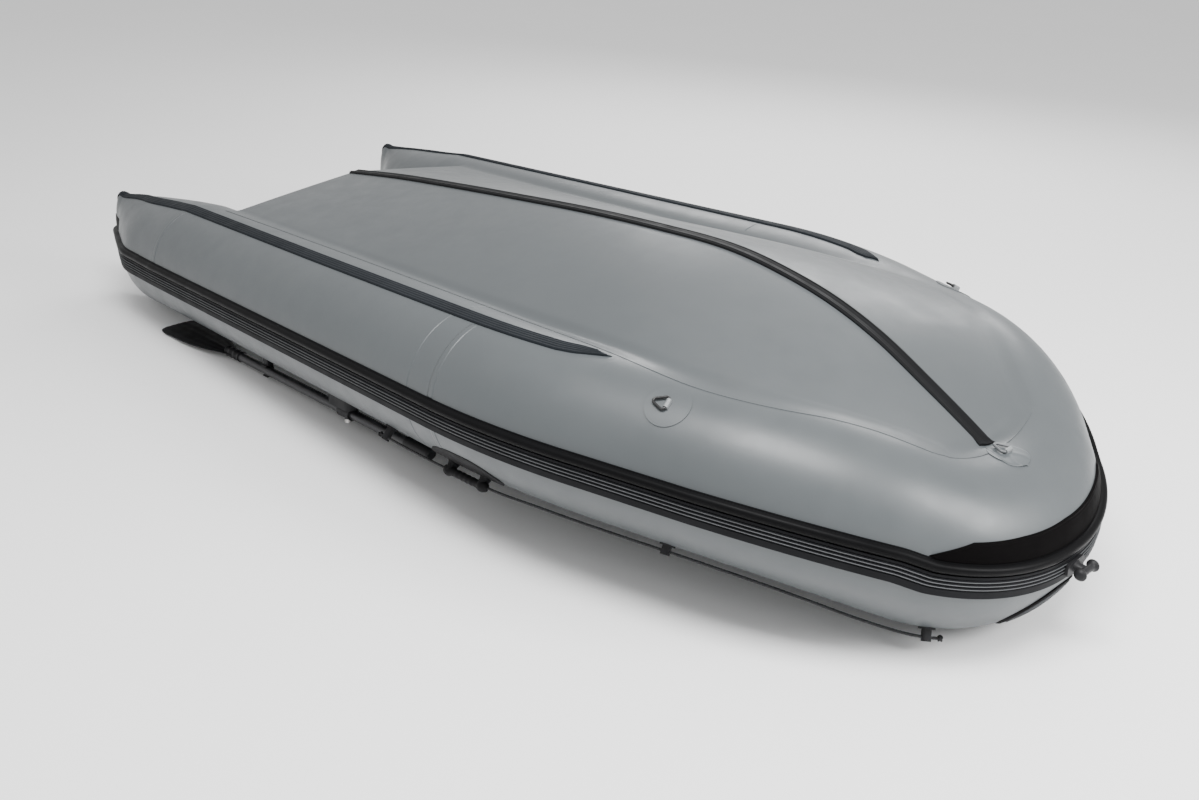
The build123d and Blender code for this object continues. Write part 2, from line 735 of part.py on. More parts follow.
def lifeline_solid(radius):
    with BuildPart() as rope:
        with BuildLine():
            line = FilletPolyline(*ROPE_ROUTE, radius=rope_radii)
        with BuildSketch(Plane(origin=line @ 0, z_dir=line % 0)):
            Circle(radius)
        sweep(path=line)
    ends = (Plane(origin=line @ 0, z_dir=line % 0), Plane(origin=line @ 1, z_dir=line % 1))
    return rope.part, line.length, ends


rope_solid, rope_length, (rope_start, rope_end) = lifeline_solid(ROPE_R)
print("lifeline arcs", [round(radius) for radius in rope_radii], "length", round(rope_length))
print("volume over section times length", round(rope_solid.volume / (pi * ROPE_R**2 * rope_length), 4))
with BuildPart() as lifeline:
    add(rope_solid)
    for knot_place in (rope_start.offset(-8), rope_end.offset(-6)):
        with BuildSketch(knot_place):
            Circle(KNOT_R)
        extrude(amount=KNOT_LENGTH)
save(lifeline.part, "starboard_lifeline")
save(lifeline.part.mirror(Plane.XZ), "port_lifeline")

# each holder: where the rope passes it, the tube axis abreast of it, the rope's heading
HOLDERS = [
    ((2180, 836.3, -196.5), (2182, 655.5, 0), (1, 0.01, -0.01)),
    ((3225, 672.5, -240), (3197, 535, -33), (0.95, -0.3, -0.07)),
    ((3798, 307.5, -406.5), (3721, 191, -191), (0.62, -0.76, -0.2)),
]
rope_bore, _, _ = lifeline_solid(ROPE_HOLE)
HOLDER_DISC_R = 22.0
HOLDER_DISC_T = 4.0
HOLDER_SUNK = 12.0       # the disc runs into the tube before the tube is cut out of it
POST_OVER_ROPE = 10.0


def rope_holder(point, axis_point, heading):
    """A disc on the tube with a post that the lifeline passes through."""
    reach = Vector(*point) - Vector(*axis_point)
    out = reach.normalized()
    along = (Vector(*heading) - out * Vector(*heading).dot(out)).normalized()
    place = Plane(origin=axis_point, x_dir=along, z_dir=out)
    with BuildPart() as holder:
        with BuildSketch(place.offset(TUBE_R - HOLDER_SUNK)):
            Circle(HOLDER_DISC_R)
        extrude(amount=HOLDER_SUNK + HOLDER_DISC_T)
        with BuildSketch(place.offset(TUBE_R)):
            RectangleRounded(24, 20, 6)
        extrude(amount=reach.length - TUBE_R + POST_OVER_ROPE)
        for core in (side_core, bow_core, rope_bore):
            add(core, mode=Mode.SUBTRACT)
    return holder.part


starboard_holders = [rope_holder(*holder) for holder in HOLDERS]
port_holders = [holder.mirror(Plane.XZ) for holder in starboard_holders]
save(Compound(children=starboard_holders + port_holders), "rope_holders")


# ---- rowlocks and oars ---------------------------------------------------------------------------
PIN_R = 6.0
PIN_RUN = 0.1
BASE_FACE = -234.0
SHAFT_R = 17.0
SHAFT_WALL = 1.5
SHAFT_X = (1000.0, 2250.0)
COLLAR_R = 23.0
GRIP_X = (2140.0, 2270.0)
BLADE_T = 8.0
BASE_ROOT = -180.0       # inside the tube, before the tube is cut out of the base
PIN_WASHER = BASE_FACE - 4
PIN_HEAD = -286.0
PIN_END = -298.0

with BuildPart() as rowlock_base:
    with BuildSketch(Plane.XY.offset(BASE_ROOT)):
        with Locations(ROWLOCK):
            RectangleRounded(130, 76, 20)
    extrude(amount=BASE_FACE - BASE_ROOT)
    add(side_core, mode=Mode.SUBTRACT)
save(twin(rowlock_base.part), "rowlock_bases")

with BuildPart() as rowlock_pin:
    for top, bottom, radius in (
        (BASE_FACE, PIN_WASHER, 16), (PIN_WASHER, PIN_HEAD, PIN_R), (PIN_HEAD, PIN_END, 13)
    ):
        with BuildSketch(Plane.XY.offset(bottom)):
            with Locations(ROWLOCK):
                Circle(radius)
        extrude(amount=top - bottom)
save(twin(rowlock_pin.part), "rowlock_pins")


def across_oar(x):
    return Plane(origin=(x, ROWLOCK[1], OAR_Z), x_dir=(0, 1, 0), z_dir=(1, 0, 0))


def pin_bore():
    """Outline of the rowlock pin's hole, below the oar."""
    with BuildSketch(Plane.XY.offset(OAR_Z - 40)) as bore:
        with Locations(ROWLOCK):
            Circle(PIN_R + PIN_RUN)
    return bore.sketch


with BuildPart() as oar_shaft:
    with BuildSketch(across_oar(SHAFT_X[0])):
        Circle(SHAFT_R)
        Circle(SHAFT_R - SHAFT_WALL, mode=Mode.SUBTRACT)
    extrude(amount=SHAFT_X[1] - SHAFT_X[0])
    extrude(pin_bore(), amount=80, mode=Mode.SUBTRACT)

with BuildPart() as oar_collar:
    with BuildSketch(across_oar(ROWLOCK[0] - 35)):
        Circle(COLLAR_R)
        Circle(SHAFT_R, mode=Mode.SUBTRACT)
    extrude(amount=70)
    extrude(pin_bore(), amount=80, mode=Mode.SUBTRACT)

with BuildPart() as oar_grip:
    with BuildSketch(across_oar(GRIP_X[0])):
        Circle(SHAFT_R + 3)
    extrude(amount=GRIP_X[1] - GRIP_X[0])
    fillet(oar_grip.edges().group_by(Axis.X)[-1], 8)
    with BuildSketch(across_oar(GRIP_X[0])):
        Circle(SHAFT_R)
    extrude(amount=SHAFT_X[1] - GRIP_X[0], mode=Mode.SUBTRACT)

BLADE_HALF = [(530, 70), (560, 85), (760, 78), (930, 40), (1030, 18)]
SLEEVE_X = (960.0, 1060.0)
SLEEVE_WALL = 3.5
with BuildPart() as oar_blade:
    with BuildSketch(Plane.XY.offset(OAR_Z - BLADE_T / 2)):
        with BuildLine():
            near = [(x, ROWLOCK[1] - half) for x, half in BLADE_HALF]
            far = [(x, ROWLOCK[1] + half) for x, half in reversed(BLADE_HALF)]
            Polyline(*near, *far, close=True)
        make_face()
    extrude(amount=BLADE_T)
    with BuildSketch(across_oar(SLEEVE_X[0])):
        Circle(SHAFT_R + SLEEVE_WALL)
    extrude(amount=SLEEVE_X[1] - SLEEVE_X[0])
    with BuildSketch(across_oar(SHAFT_X[0])):
        Circle(SHAFT_R)
    extrude(amount=100, mode=Mode.SUBTRACT)

oar_pieces = ((oar_shaft, "shaft"), (oar_collar, "collar"), (oar_grip, "grip"), (oar_blade, "blade"))
for piece, name in oar_pieces:
    save(piece.part, "starboard_oar_" + name)
    save(piece.part.mirror(Plane.XZ), "port_oar_" + name)

CLIP_X = 1250.0
CLIP_GAP = 0.8
CLIP_WALL = 4.0
CLIP_LENGTH = 30.0
CLIP_JAW = 12.0          # the jaws reach this far outboard of the shaft's axis
clip_bore = SHAFT_R + CLIP_GAP
with BuildPart() as oar_clip:
    with BuildSketch(across_oar(CLIP_X - CLIP_LENGTH / 2)):
        Circle(clip_bore + CLIP_WALL)
        with Locations((CLIP_JAW / 2, 0)):
            Rectangle(CLIP_JAW, 2 * (clip_bore + CLIP_WALL))
        with Locations((-8, 26)):
            Rectangle(22, 42)
        Circle(clip_bore, mode=Mode.SUBTRACT)
        with Locations((30, 0)):
            Rectangle(60, 2 * clip_bore, mode=Mode.SUBTRACT)
        with Locations((CLIP_JAW + 60, 0)):
            Rectangle(120, 200, mode=Mode.SUBTRACT)
    extrude(amount=CLIP_LENGTH)
    add(side_core, mode=Mode.SUBTRACT)
save(twin(oar_clip.part), "oar_clips")


# ---- seat on its rails -----------------------------------------------------------------------------
RAIL_X = (950.0, 1700.0)
RAIL_BULB_R = 5.0
BULB_Z = -236.0
SLIDER_TOP = -229.0
SLIDER_FLOOR = -246.0
SLIDER_RUN = 0.6
SLIDER_LENGTH = 120.0
BOARD = (220.0, 1180.0, 20.0)
STEM_ROOT = -190.0       # inside the tube, before the tube is cut out of the rail
with BuildPart() as seat_rail:
    with BuildSketch(Plane.YZ.offset(RAIL_X[0])):
        with Locations((RAIL_Y, (BULB_Z + STEM_ROOT) / 2)):
            Rectangle(3, STEM_ROOT - BULB_Z)
        with Locations((RAIL_Y, -205)):
            Rectangle(40, 34)
        with Locations((RAIL_Y, BULB_Z)):
            Circle(RAIL_BULB_R)
    extrude(amount=RAIL_X[1] - RAIL_X[0])
    add(side_core, mode=Mode.SUBTRACT)
save(twin(seat_rail.part), "seat_rails")

with BuildPart() as seat_slider:
    with BuildSketch(Plane.YZ.offset(SEAT_X - SLIDER_LENGTH / 2)):
        with Locations((RAIL_Y, (SLIDER_TOP + SLIDER_FLOOR) / 2)):
            Rectangle(32, SLIDER_TOP - SLIDER_FLOOR)
        with Locations((RAIL_Y, BULB_Z)):
            Circle(RAIL_BULB_R + SLIDER_RUN, mode=Mode.SUBTRACT)
        with Locations((RAIL_Y, (SLIDER_TOP + BULB_Z) / 2)):
            Rectangle(5, SLIDER_TOP - BULB_Z, mode=Mode.SUBTRACT)
    extrude(amount=SLIDER_LENGTH)
save(twin(seat_slider.part), "seat_sliders")

with BuildPart() as bench_seat:
    with BuildSketch(Plane.XY.offset(SLIDER_FLOOR - BOARD[2])):
        with Locations((SEAT_X, 0)):
            RectangleRounded(BOARD[0], BOARD[1], 30)
    extrude(amount=BOARD[2])
    fillet(bench_seat.edges().group_by(Axis.Z)[0], 4)
save(bench_seat.part, "bench_seat")


# ---- inflation valves ------------------------------------------------------------------------------
FLANGE_R = 32.0
FLANGE_T = 4.0
VALVE_BORE = 15.0
BARREL_DEPTH = 28.0
HUB_R = 6.0
STEM_R = 3.2
STEM_GAP = 0.4
FLANGE_SUNK = 8.0        # the flange runs into the wall before the wall is cut out of it
SPIDER_DEPTH = 24.0
SPIDER_T = 4.0


def valve_body(place, wall):
    """Flange on the skin, barrel through it, and a spider that guides the pin."""
    with BuildPart() as body:
        with BuildSketch(place.offset(-FLANGE_SUNK)):
            Circle(FLANGE_R)
        extrude(amount=FLANGE_SUNK + FLANGE_T)
        add(wall, mode=Mode.SUBTRACT)
        with BuildSketch(place.offset(-BARREL_DEPTH)):
            Circle(VALVE_BARREL)
        extrude(amount=BARREL_DEPTH + FLANGE_T)
        with BuildSketch(place.offset(-BARREL_DEPTH - 1)):
            Circle(VALVE_BORE)
        extrude(amount=BARREL_DEPTH + FLANGE_T + 2, mode=Mode.SUBTRACT)
        with BuildSketch(place.offset(-SPIDER_DEPTH)):
            Rectangle(2 * VALVE_BORE + 2, SPIDER_T)
            Rectangle(SPIDER_T, 2 * VALVE_BORE + 2)
            Circle(HUB_R)
            Circle(STEM_R + STEM_GAP, mode=Mode.SUBTRACT)
        extrude(amount=SPIDER_T)
    return body.part


def valve_pin(place):
    """Push button, stem and the sealing disc that closes the barrel from inside."""
    with BuildPart() as pin:
        for low, high, radius in (
            (-BARREL_DEPTH - 2.8, -BARREL_DEPTH - STEM_GAP, 18.5),
            (-BARREL_DEPTH - STEM_GAP, -14, STEM_R),
            (-14, -9, HUB_R),
        ):
            with BuildSketch(place.offset(low)):
                Circle(radius)
            extrude(amount=high - low)
    return pin.part


COVER_UNDER = FLANGE_T + 0.4
COVER_TOP = 9.0


def valve_cap(place):
    """Bayonet cap: a plug in the bore, a cover over the flange, and a finger bar."""
    with BuildPart() as cap:
        for low, high, radius in (
            (-6, COVER_UNDER, VALVE_BORE - 0.5), (COVER_UNDER, COVER_TOP, FLANGE_R - 2)
        ):
            with BuildSketch(place.offset(low)):
                Circle(radius)
            extrude(amount=high - low)
        with BuildSketch(place.offset(COVER_TOP)):
            RectangleRounded(44, 9, 4)
        extrude(amount=7)
    return cap.part


side_valve = valve_body(SIDE_VALVE, side_core)
save(
    Compound(children=[
        side_valve, side_valve.mirror(Plane.XZ), valve_body(BOW_VALVE, bow_core),
        valve_body(FLOOR_VALVE, bottom_core),
    ]),
    "valve_bodies",
)
for make, piece in ((valve_pin, "pin"), (valve_cap, "cap")):
    save(make(SIDE_VALVE), "starboard_valve_" + piece)
    save(make(SIDE_VALVE).mirror(Plane.XZ), "port_valve_" + piece)
    save(make(BOW_VALVE), "bow_valve_" + piece)
    save(make(FLOOR_VALVE), "floor_valve_" + piece)
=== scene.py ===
import json
import math

import bmesh
import bpy
import numpy as np
from mathutils import Matrix, Vector


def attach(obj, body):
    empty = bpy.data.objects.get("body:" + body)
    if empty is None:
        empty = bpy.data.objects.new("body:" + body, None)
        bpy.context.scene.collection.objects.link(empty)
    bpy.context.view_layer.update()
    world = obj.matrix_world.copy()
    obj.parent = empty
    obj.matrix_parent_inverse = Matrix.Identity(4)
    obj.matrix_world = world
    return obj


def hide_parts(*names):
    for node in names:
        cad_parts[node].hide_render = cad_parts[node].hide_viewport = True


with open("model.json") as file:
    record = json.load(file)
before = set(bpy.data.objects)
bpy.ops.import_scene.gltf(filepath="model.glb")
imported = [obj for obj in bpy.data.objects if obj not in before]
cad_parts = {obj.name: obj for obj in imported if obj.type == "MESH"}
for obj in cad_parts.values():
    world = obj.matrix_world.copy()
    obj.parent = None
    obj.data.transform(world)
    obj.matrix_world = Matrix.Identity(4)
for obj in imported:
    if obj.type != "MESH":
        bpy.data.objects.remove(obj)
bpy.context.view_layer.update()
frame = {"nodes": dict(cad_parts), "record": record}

# An inflatable boat lying hull up. Every piece is built in the hull frame, in metres: x = 0 at
# the sterns of the side tubes, +x to the bow, starboard is +y, z = 0 at the tubes' straight axis.
# REST lays the hull on its bow and oar blades, as the CAD model does.
PITCH = math.radians(3.277)
CENTRE_X = 2.0088
FLOOR_DROP = 0.235269
REST = Matrix.Translation((-CENTRE_X, 0, FLOOR_DROP)) @ Matrix.Rotation(-PITCH, 4, "Y")

# ---- driving dimensions ------------------------------------------------------------
TUBE_R = 0.232
STERN_Y = 0.607
SHOULDER = (2.746, 0.668, 0.0)
CHEEK = (3.489, 0.449, -0.054)
NOSE = (3.768, 0.151, -0.219)
BEND_RADII = (1.610, 0.680, 0.325)
CONE_X = 0.650
BAFFLE_X = 2.400
TRANSOM_X = 0.795
TOE = (SHOULDER[1] - STERN_Y) / SHOULDER[0]
STEP = 0.008
CONE_TIP_ROWS = [-0.034, -0.036, -0.0375]

SIDES = (("port", -1), ("starboard", 1))

# stations of the stern cone: x, axis y, axis z, half width, half height
CONE = [
    (-0.038, 0.671, -0.042, 0.004, 0.030),
    (-0.036, 0.671, -0.042, 0.010, 0.052),
    (-0.030, 0.671, -0.034, 0.017, 0.085),
    (-0.020, 0.671, -0.025, 0.026, 0.112),
    (-0.008, 0.6705, -0.008, 0.034, 0.152),
    (0.004, 0.670, 0.001, 0.041, 0.176),
    (0.070, 0.667, -0.008, 0.070, 0.192),
    (0.200, 0.645, -0.014, 0.142, 0.211),
    (0.350, 0.633, -0.011, 0.203, 0.220),
    (0.500, 0.622, -0.006, 0.225, 0.226),
    (0.650, STERN_Y + TOE * 0.650, 0.0, TUBE_R, TUBE_R),
]

# the V bottom: x, crest z, edge y, edge z, bulge of each side, deck side z
BOTTOM = [
    (0.780, 0.282, 0.560, 0.215, 0.002, 0.110),
    (1.120, 0.313, 0.556, 0.210, 0.005, 0.110),
    (1.434, 0.333, 0.552, 0.206, 0.008, 0.110),
    (1.860, 0.355, 0.550, 0.203, 0.014, 0.110),
    (2.232, 0.371, 0.548, 0.200, 0.018, 0.110),
    (2.560, 0.376, 0.552, 0.203, 0.021, 0.110),
    (2.862, 0.368, 0.556, 0.208, 0.022, 0.110),
    (3.045, 0.338, 0.560, 0.206, 0.020, 0.102),
    (3.228, 0.289, 0.560, 0.196, 0.016, 0.080),
    (3.386, 0.223, 0.540, 0.177, 0.011, 0.046),
    (3.548, 0.131, 0.450, 0.140, 0.005, 0.005),
    (3.703, 0.036, 0.300, 0.084, 0.001, -0.030),
    (3.830, -0.052, 0.180, 0.020, 0.000, -0.060),
]


# ---- helpers: numbers ------------------------------------------------------------
def smooth_interp(x, xs, ys):
    """A smooth curve through the stations, with no overshoot between them."""
    xs = np.asarray(xs, float)
    ys = np.asarray(ys, float)
    slopes = np.diff(ys) / np.diff(xs)
    tangents = np.concatenate([slopes[:1], (slopes[1:] + slopes[:-1]) / 2, slopes[-1:]])
    flat = np.concatenate([[False], slopes[1:] * slopes[:-1] <= 0, [False]])
    tangents[flat] = 0
    x = np.clip(x, xs[0], xs[-1])
    i = np.clip(np.searchsorted(xs, x, side="right") - 1, 0, len(xs) - 2)
    h = xs[i + 1] - xs[i]
    t = (x - xs[i]) / h
    return (
        ys[i] * (2 * t**3 - 3 * t**2 + 1)
        + tangents[i] * h * (t**3 - 2 * t**2 + t)
        + ys[i + 1] * (3 * t**2 - 2 * t**3)
        + tangents[i + 1] * h * (t**3 - t**2)
    )


def smooth_max(a, b, blend):
    """The larger of two heights, with a fillet where they cross."""
    h = np.clip(0.5 + (a - b) / (2 * blend), 0, 1)
    return b + (a - b) * h + blend * h * (1 - h)


def unit(v):
    return v / np.linalg.norm(v, axis=-1, keepdims=True)


# ---- the tubes' axis, as stations from the port stern round the bow to the starboard stern --------
def rounded(corners, radii):
    """Points along straight runs joined by tangent arcs."""
    corners = [np.array(c, float) for c in corners]
    points = [corners[0]]
    for before, corner, after, radius in zip(corners, corners[1:], corners[2:], radii):
        u = unit(before - corner)
        v = unit(after - corner)
        half = math.acos(float(np.clip(u @ v, -1, 1))) / 2
        reach = radius / math.tan(half)
        centre = corner + unit(u + v) * radius / math.sin(half)
        start = corner + u * reach - centre
        end = corner + v * reach - centre
        sweep = math.pi - 2 * half
        count = max(6, int(radius * sweep / STEP))
        for k in range(count + 1):
            t = k / count
            points.append(
                centre + (start * math.sin((1 - t) * sweep) + end * math.sin(t * sweep)) / math.sin(sweep)
            )
    points.append(corners[-1])
    return np.array(points)


def port_of(p):
    return (p[0], -p[1], p[2])


def build_stations():
    """Origin, outboard and up directions, and the half sizes of the section, by distance from the bow."""
    start = (CONE_X, STERN_Y + TOE * CONE_X, 0.0)
    starboard = [start, SHOULDER, CHEEK, NOSE]
    corners = starboard + [port_of(p) for p in reversed(starboard)]
    line = rounded(corners, list(BEND_RADII) + list(reversed(BEND_RADII)))
    length = np.concatenate([[0], np.cumsum(np.linalg.norm(np.diff(line, axis=0), axis=1))])
    middle = length[-1] / 2
    reach = np.arange(0, middle, STEP)
    reach = np.append(reach, middle)
    half = np.stack([np.interp(middle - reach, length, line[:, k]) for k in range(3)], axis=1)
    size = np.full(len(half), TUBE_R)
    cone_x = np.arange(CONE_X - STEP, CONE[0][0], -STEP)
    cone_x = np.append(cone_x, CONE_TIP_ROWS + [CONE[0][0]])
    cone_x = np.unique(cone_x)[::-1]
    places, *measures = zip(*CONE)
    cone = [smooth_interp(cone_x, places, measure) for measure in measures]
    origin = np.concatenate([half, np.stack([cone_x, cone[0], cone[1]], axis=1)])
    half_w = np.concatenate([size, cone[2]])
    half_h = np.concatenate([size, cone[3]])
    heading = np.gradient(half, axis=0)
    heading[0] = (0, 1, 0)
    heading = unit(heading)
    outboard = unit(np.cross(heading, (0, 0, 1)))
    up = unit(np.cross(outboard, heading))
    tail = len(cone_x)
    outboard = np.concatenate([outboard, np.tile([0.0, 1.0, 0.0], (tail, 1))])
    up = np.concatenate([up, np.tile([0.0, 0.0, 1.0], (tail, 1))])
    along = np.concatenate([[0], np.cumsum(np.linalg.norm(np.diff(origin, axis=0), axis=1))])
    flip = np.array([1.0, -1.0, 1.0])
    columns = {
        "s": np.concatenate([-along[:0:-1], along]),
        "w": np.concatenate([half_w[:0:-1], half_w]),
        "h": np.concatenate([half_h[:0:-1], half_h]),
    }
    for name, values in (("o", origin), ("out", outboard), ("up", up)):
        columns[name] = np.concatenate([values[:0:-1] * flip, values])
    return columns


TUBE = build_stations()
STERN_S = TUBE["s"][-1]


def s_at(x):
    """Distance from the bow, along the starboard tube, to the section at that x."""
    side = TUBE["s"] >= 0
    return float(np.interp(-x, -TUBE["o"][side][:, 0], TUBE["s"][side]))


def on_tube(s, angle, height):
    """Points on the tube: s is signed (port is negative), angle in degrees, 0 outboard, 90 up."""
    s, angle, height = np.broadcast_arrays(*(np.asarray(v, float) for v in (s, angle, height)))
    get = {k: np.interp(s, TUBE["s"], TUBE[k]) for k in ("w", "h")}
    vec = {
        k: np.stack([np.interp(s, TUBE["s"], TUBE[k][:, a]) for a in range(3)], -1)
        for k in ("o", "out", "up")
    }
    c = np.cos(np.radians(angle))
    d = np.sin(np.radians(angle))
    skin = vec["out"] * (get["w"] * c)[..., None] + vec["up"] * (get["h"] * d)[..., None]
    normal = unit(vec["out"] * (c / get["w"])[..., None] + vec["up"] * (d / get["h"])[..., None])
    return vec["o"] + skin + normal * height[..., None]


def level_angle(s, angle):
    """The angle that keeps a strip at its height where the stern cone narrows."""
    z = TUBE_R * np.sin(np.radians(angle))
    axis_z = np.interp(s, TUBE["s"], TUBE["o"][:, 2])
    half_h = np.interp(s, TUBE["s"], TUBE["h"])
    turned = np.degrees(np.arcsin(np.clip((z - axis_z) / half_h, -0.999, 0.999)))
    return np.where(np.abs(s) > s_at(CONE_X), turned, angle)


def tube_top(x, y):
    """Height of the tubes' upper side over a point of the plan."""
    keep = np.abs(TUBE["s"]) < s_at(CONE_X - 0.01)
    centres = TUBE["o"][keep]
    flat = (x[..., None] - centres[:, 0]) ** 2 + (y[..., None] - centres[:, 1]) ** 2
    inside = flat < TUBE_R**2
    top = np.where(inside, centres[:, 2] + np.sqrt(np.where(inside, TUBE_R**2 - flat, 0)), -1.0)
    return top.max(axis=-1)


CREST_SOFTNESS = 0.02


def bottom_only(x, y):
    """Height of the V bottom over a point of the plan, before it meets the tubes."""
    xs = [row[0] for row in BOTTOM]
    crest, edge_y, edge_z, bulge = (
        smooth_interp(x, xs, [row[k] for row in BOTTOM]) for k in (1, 2, 3, 4)
    )
    t = np.abs(y) / edge_y
    soft = np.sqrt(t**2 + CREST_SOFTNESS**2) - CREST_SOFTNESS
    return crest + (edge_z - crest) * soft + 4 * bulge * t * (1 - t)


SHEET_T = 0.0012
VALLEY_BLEND = 0.014


def hull_top(x, y):
    """Height of the bottom's outer skin, whose edges lie on the tubes."""
    return smooth_max(bottom_only(x, y), tube_top(x, y) + SHEET_T, VALLEY_BLEND)


# ---- helpers: meshes ------------------------------------------------------------
def finish_mesh(name, verts, faces, uvs=None):
    """A mesh object from hull-frame points, laid in the row frame."""
    mesh = bpy.data.meshes.new(name)
    mesh.from_pydata([tuple(v) for v in verts], [], faces)
    if uvs is not None:
        layer = mesh.uv_layers.new(name="UVMap")
        for loop in mesh.loops:
            layer.data[loop.index].uv = uvs[loop.vertex_index]
    mesh.transform(REST)
    work = bmesh.new()
    work.from_mesh(mesh)
    bmesh.ops.recalc_face_normals(work, faces=work.faces)
    work.to_mesh(mesh)
    work.free()
    for polygon in mesh.polygons:
        polygon.use_smooth = True
    mesh.validate()
    piece = bpy.data.objects.new(name, mesh)
    bpy.context.scene.collection.objects.link(piece)
    return piece


def sharpen(piece, degrees=40):
    """Keeps creases crisp while the rest is shaded smooth."""
    piece.data.set_sharp_from_angle(angle=math.radians(degrees))


def place(piece, body, slot, material, *nodes):
    """Gives a piece its material and its body, and hides the CAD nodes that it stands for."""
    piece.data.materials.append(material)
    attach(piece, body)
    if nodes:
        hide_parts(*nodes)
    return piece


def grid_faces(rows, columns, wrap, offset=0):
    faces = []
    for i in range(rows - 1):
        for j in range(columns if wrap else columns - 1):
            k = (j + 1) % columns
            faces.append((
                offset + i * columns + j, offset + (i + 1) * columns + j,
                offset + (i + 1) * columns + k, offset + i * columns + k,
            ))
    return faces


def hose(name, points, uvs=None):
    """A closed skin from rings of points: rows are rings."""
    rows, columns, _ = points.shape
    faces = grid_faces(rows, columns, True)
    faces.append(tuple(range(columns)))
    faces.append(tuple((rows - 1) * columns + k for k in range(columns)))
    return finish_mesh(name, points.reshape(-1, 3), faces, uvs)


def slab(name, upper, lower, uvs=None):
    """A closed sheet from two grids of points that share their outline."""
    rows, columns, _ = upper.shape
    verts = np.concatenate([upper.reshape(-1, 3), lower.reshape(-1, 3)])
    size = rows * columns
    faces = grid_faces(rows, columns, False)
    faces += [tuple(reversed(f)) for f in grid_faces(rows, columns, False, size)]
    rim = list(range(columns)) + [i * columns + columns - 1 for i in range(1, rows)]
    rim += [(rows - 1) * columns + j for j in range(columns - 2, -1, -1)]
    rim += [i * columns for i in range(rows - 2, 0, -1)]
    for a, b in zip(rim, rim[1:] + rim[:1]):
        faces.append((a, b, b + size, a + size))
    both = None if uvs is None else np.concatenate([uvs, uvs])
    return finish_mesh(name, verts, faces, both)


STRIP_SINK = 0.0012


def strip(name, s, angle, height):
    """A glued strip on the tube. s, angle and height are grids; the underside is just in the skin."""
    s, angle, height = np.broadcast_arrays(s, angle, height)
    upper = on_tube(s, angle, height)
    lower = on_tube(s, angle, np.full(s.shape, -STRIP_SINK))
    uvs = np.stack([s.ravel(), (np.radians(angle) * TUBE_R).ravel()], axis=1)
    return slab(name, upper, lower, uvs)


def bar(name, points, radius, sides=14, squash=1.0):
    """A round bar with rounded ends along hull-frame points."""
    points = [np.array(p, float) for p in points]
    rings = []
    side = None
    for i, p in enumerate(points):
        heading = unit(points[min(i + 1, len(points) - 1)] - points[max(i - 1, 0)])
        if side is None:
            side = np.cross(heading, (0, 0, 1) if abs(heading[2]) < 0.8 else (1, 0, 0))
        side = unit(side - heading * (side @ heading))
        other = np.cross(heading, side)
        turn = np.linspace(0, 2 * math.pi, sides, endpoint=False)
        one = radius(i / (len(points) - 1)) if callable(radius) else radius
        rings.append(p + one * (np.outer(np.cos(turn), side) + squash * np.outer(np.sin(turn), other)))
    return hose(name, np.array(rings))


# ---- helpers: materials ------------------------------------------------------------
class Nodes:
    """Short calls for a node tree."""

    def __init__(self, name):
        self.material = bpy.data.materials.new(name)
        self.material.use_nodes = True
        self.tree = self.material.node_tree
        self.shader = self.tree.nodes["Principled BSDF"]

    def add(self, kind, inputs=None, **settings):
        node = self.tree.nodes.new(kind)
        for key, value in settings.items():
            setattr(node, key, value)
        for key, value in (inputs or {}).items():
            if isinstance(value, bpy.types.NodeSocket):
                self.tree.links.new(value, node.inputs[key])
            else:
                node.inputs[key].default_value = value
        return node

    def where(self, scale=(1, 1, 1), uv=False):
        source = self.add("ShaderNodeTexCoord").outputs["UV" if uv else "Object"]
        return self.add("ShaderNodeMapping", {"Vector": source, "Scale": scale}).outputs[0]

    def noise(self, scale, detail=4.0, stretch=(1, 1, 1), uv=False, rough=0.55):
        values = {"Vector": self.where(stretch, uv), "Scale": scale, "Detail": detail, "Roughness": rough}
        return self.add("ShaderNodeTexNoise", values).outputs["Fac"]

    def waves(self, scale, direction="X", uv=True):
        values = {"Vector": self.where(uv=uv), "Scale": scale}
        return self.add("ShaderNodeTexWave", values, bands_direction=direction).outputs["Fac"]

    def spread(self, value, low, high, start=0.3, end=0.7):
        values = {"Value": value, "From Min": start, "From Max": end, "To Min": low, "To Max": high}
        return self.add("ShaderNodeMapRange", values).outputs[0]

    def math(self, operation, a, b):
        return self.add("ShaderNodeMath", {0: a, 1: b}, operation=operation).outputs[0]

    def mix(self, factor, a, b):
        node = self.add("ShaderNodeMix", {"Factor": factor}, data_type="RGBA")
        for socket, value in ((node.inputs[6], a), (node.inputs[7], b)):
            if isinstance(value, bpy.types.NodeSocket):
                self.tree.links.new(value, socket)
            else:
                socket.default_value = (*value, 1.0)
        return node.outputs[2]

    def bump(self, height, distance, strength=1.0, after=None):
        values = {"Height": height, "Distance": distance, "Strength": strength}
        if after is not None:
            values["Normal"] = after
        return self.add("ShaderNodeBump", values).outputs[0]

    def set(self, **values):
        for key, value in values.items():
            socket = self.shader.inputs[key.replace("_", " ")]
            if isinstance(value, bpy.types.NodeSocket):
                self.tree.links.new(value, socket)
            else:
                socket.default_value = value
        return self.material


def shade(color, factor):
    return tuple(c * factor for c in color)


